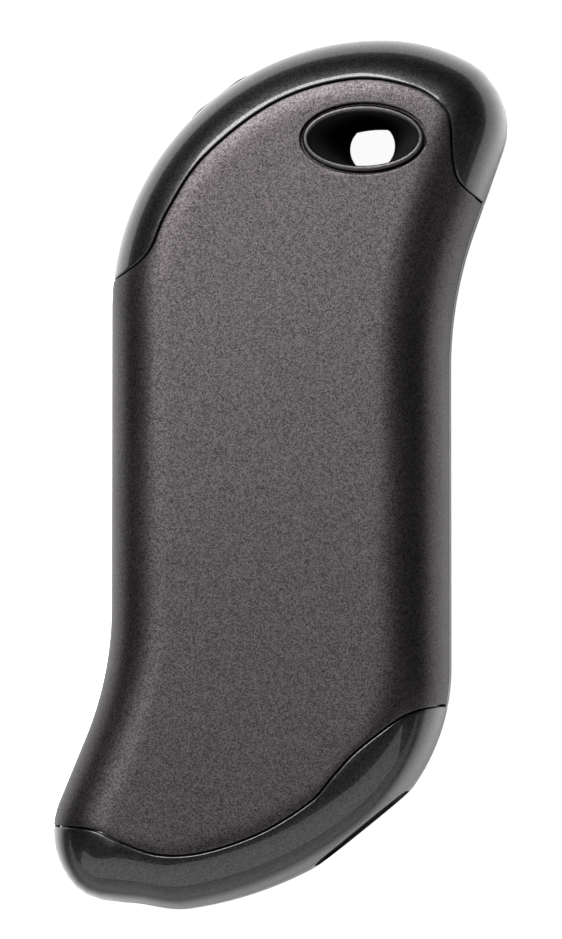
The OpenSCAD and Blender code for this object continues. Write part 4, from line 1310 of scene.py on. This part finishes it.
def table_material(looks):
    """A pale table that the lamps light. To the camera it glows as well, which makes it white. For mirrors
    and bounced light its colour is a painted pool of light round the hand warmer and a painted strip of light
    on the near side, dim beyond, and mirrors also see it glow there, a painted reflection, so that the bright
    band in the gloss ends."""
    made, tree, place = new_material("table")
    pale = tree.blend(tree.noise(place, 40.0, 2.0), looks.floor, (0.95, 0.95, 0.95, 1))
    path = tree.add("ShaderNodeLightPath").outputs
    seen = tree.math("MAXIMUM", path["Is Camera Ray"], path["Is Transmission Ray"])
    away = tree.add("ShaderNodeVectorMath", {0: place, 1: PAINTED_POOL_MIDDLE}, operation="DISTANCE")
    y = tree.add("ShaderNodeSeparateXYZ", {0: place}).outputs["Y"]
    # Painted pool of light round the hand warmer and painted strip of light on the near side, 1 where full
    near = tree.math("MAXIMUM", tree.ramp(away.outputs["Value"], PAINTED_POOL_FULL, PAINTED_POOL_DIM, 1.0, DIM_SHARE),
                     tree.ramp(y, PAINTED_STRIP_FULL, PAINTED_STRIP_DIM, PAINTED_STRIP_SHARE, DIM_SHARE))
    # The lamps light the table, whose colour away from the camera is the painted pool and strip of light
    lit = tree.add("ShaderNodeBsdfDiffuse", {"Color": tree.scaled(pale, tree.math("MAXIMUM", seen, near))})
    # Painted reflection: the table glows to mirrors in the painted pool and strip
    mirrored = tree.math("MULTIPLY", path["Is Glossy Ray"], tree.math("MULTIPLY", near, PAINTED_REFLECTION_GLOW))
    level = tree.math("MAXIMUM", tree.math("MULTIPLY", seen, CAMERA_GLOW), mirrored)
    plain = tree.add("ShaderNodeEmission", {"Color": (1, 1, 1, 1), "Strength": level})
    both = tree.add("ShaderNodeAddShader", {0: lit.outputs[0], 1: plain.outputs[0]})
    tree.add("ShaderNodeOutputMaterial", {"Surface": both.outputs[0]})
    return made


class HANDWARMER_PT_steps(Panel):
    """Lists the steps that make the hand warmer"""

    bl_idname = "VIEW3D_PT_hand_warmer"
    bl_label = "Hand Warmer"
    bl_space_type = "VIEW_3D"
    bl_region_type = "UI"
    bl_category = "Hand Warmer"

    def draw(self, context):
        for group_name in GROUPS:
            box = self.layout.box()
            settings = getattr(context.scene, group_name)
            for name in settings.__annotations__:
                box.prop(settings, name)
        for step in STEPS:
            self.layout.operator(step.bl_idname)


GROUPS = {
    "hand_warmer_body": HandWarmerBody,
    "hand_warmer_hood": HandWarmerHood,
    "hand_warmer_foot": HandWarmerFoot,
    "hand_warmer_shell": HandWarmerShell,
    "hand_warmer_eye": HandWarmerEye,
    "hand_warmer_ports": HandWarmerPorts,
    "hand_warmer_button": HandWarmerButton,
    "hand_warmer_looks": HandWarmerLooks,
    "hand_warmer_stage": HandWarmerStage,
}
STEPS = (HANDWARMER_OT_stage, HANDWARMER_OT_inside, HANDWARMER_OT_mouldings, HANDWARMER_OT_covers,
         HANDWARMER_OT_eyelets, HANDWARMER_OT_button, HANDWARMER_OT_ports)


def register():
    for made in (*GROUPS.values(), *STEPS, HANDWARMER_PT_steps):
        bpy.utils.register_class(made)
    for name, made in GROUPS.items():
        setattr(bpy.types.Scene, name, PointerProperty(type=made))


def unregister():
    for name in GROUPS:
        delattr(bpy.types.Scene, name)
    for made in reversed((*GROUPS.values(), *STEPS, HANDWARMER_PT_steps)):
        bpy.utils.unregister_class(made)


def main():
    register()
    for step in STEPS:
        family, name = step.bl_idname.split(".")
        getattr(getattr(bpy.ops, family), name)()


if __name__ == "__main__":
    main()
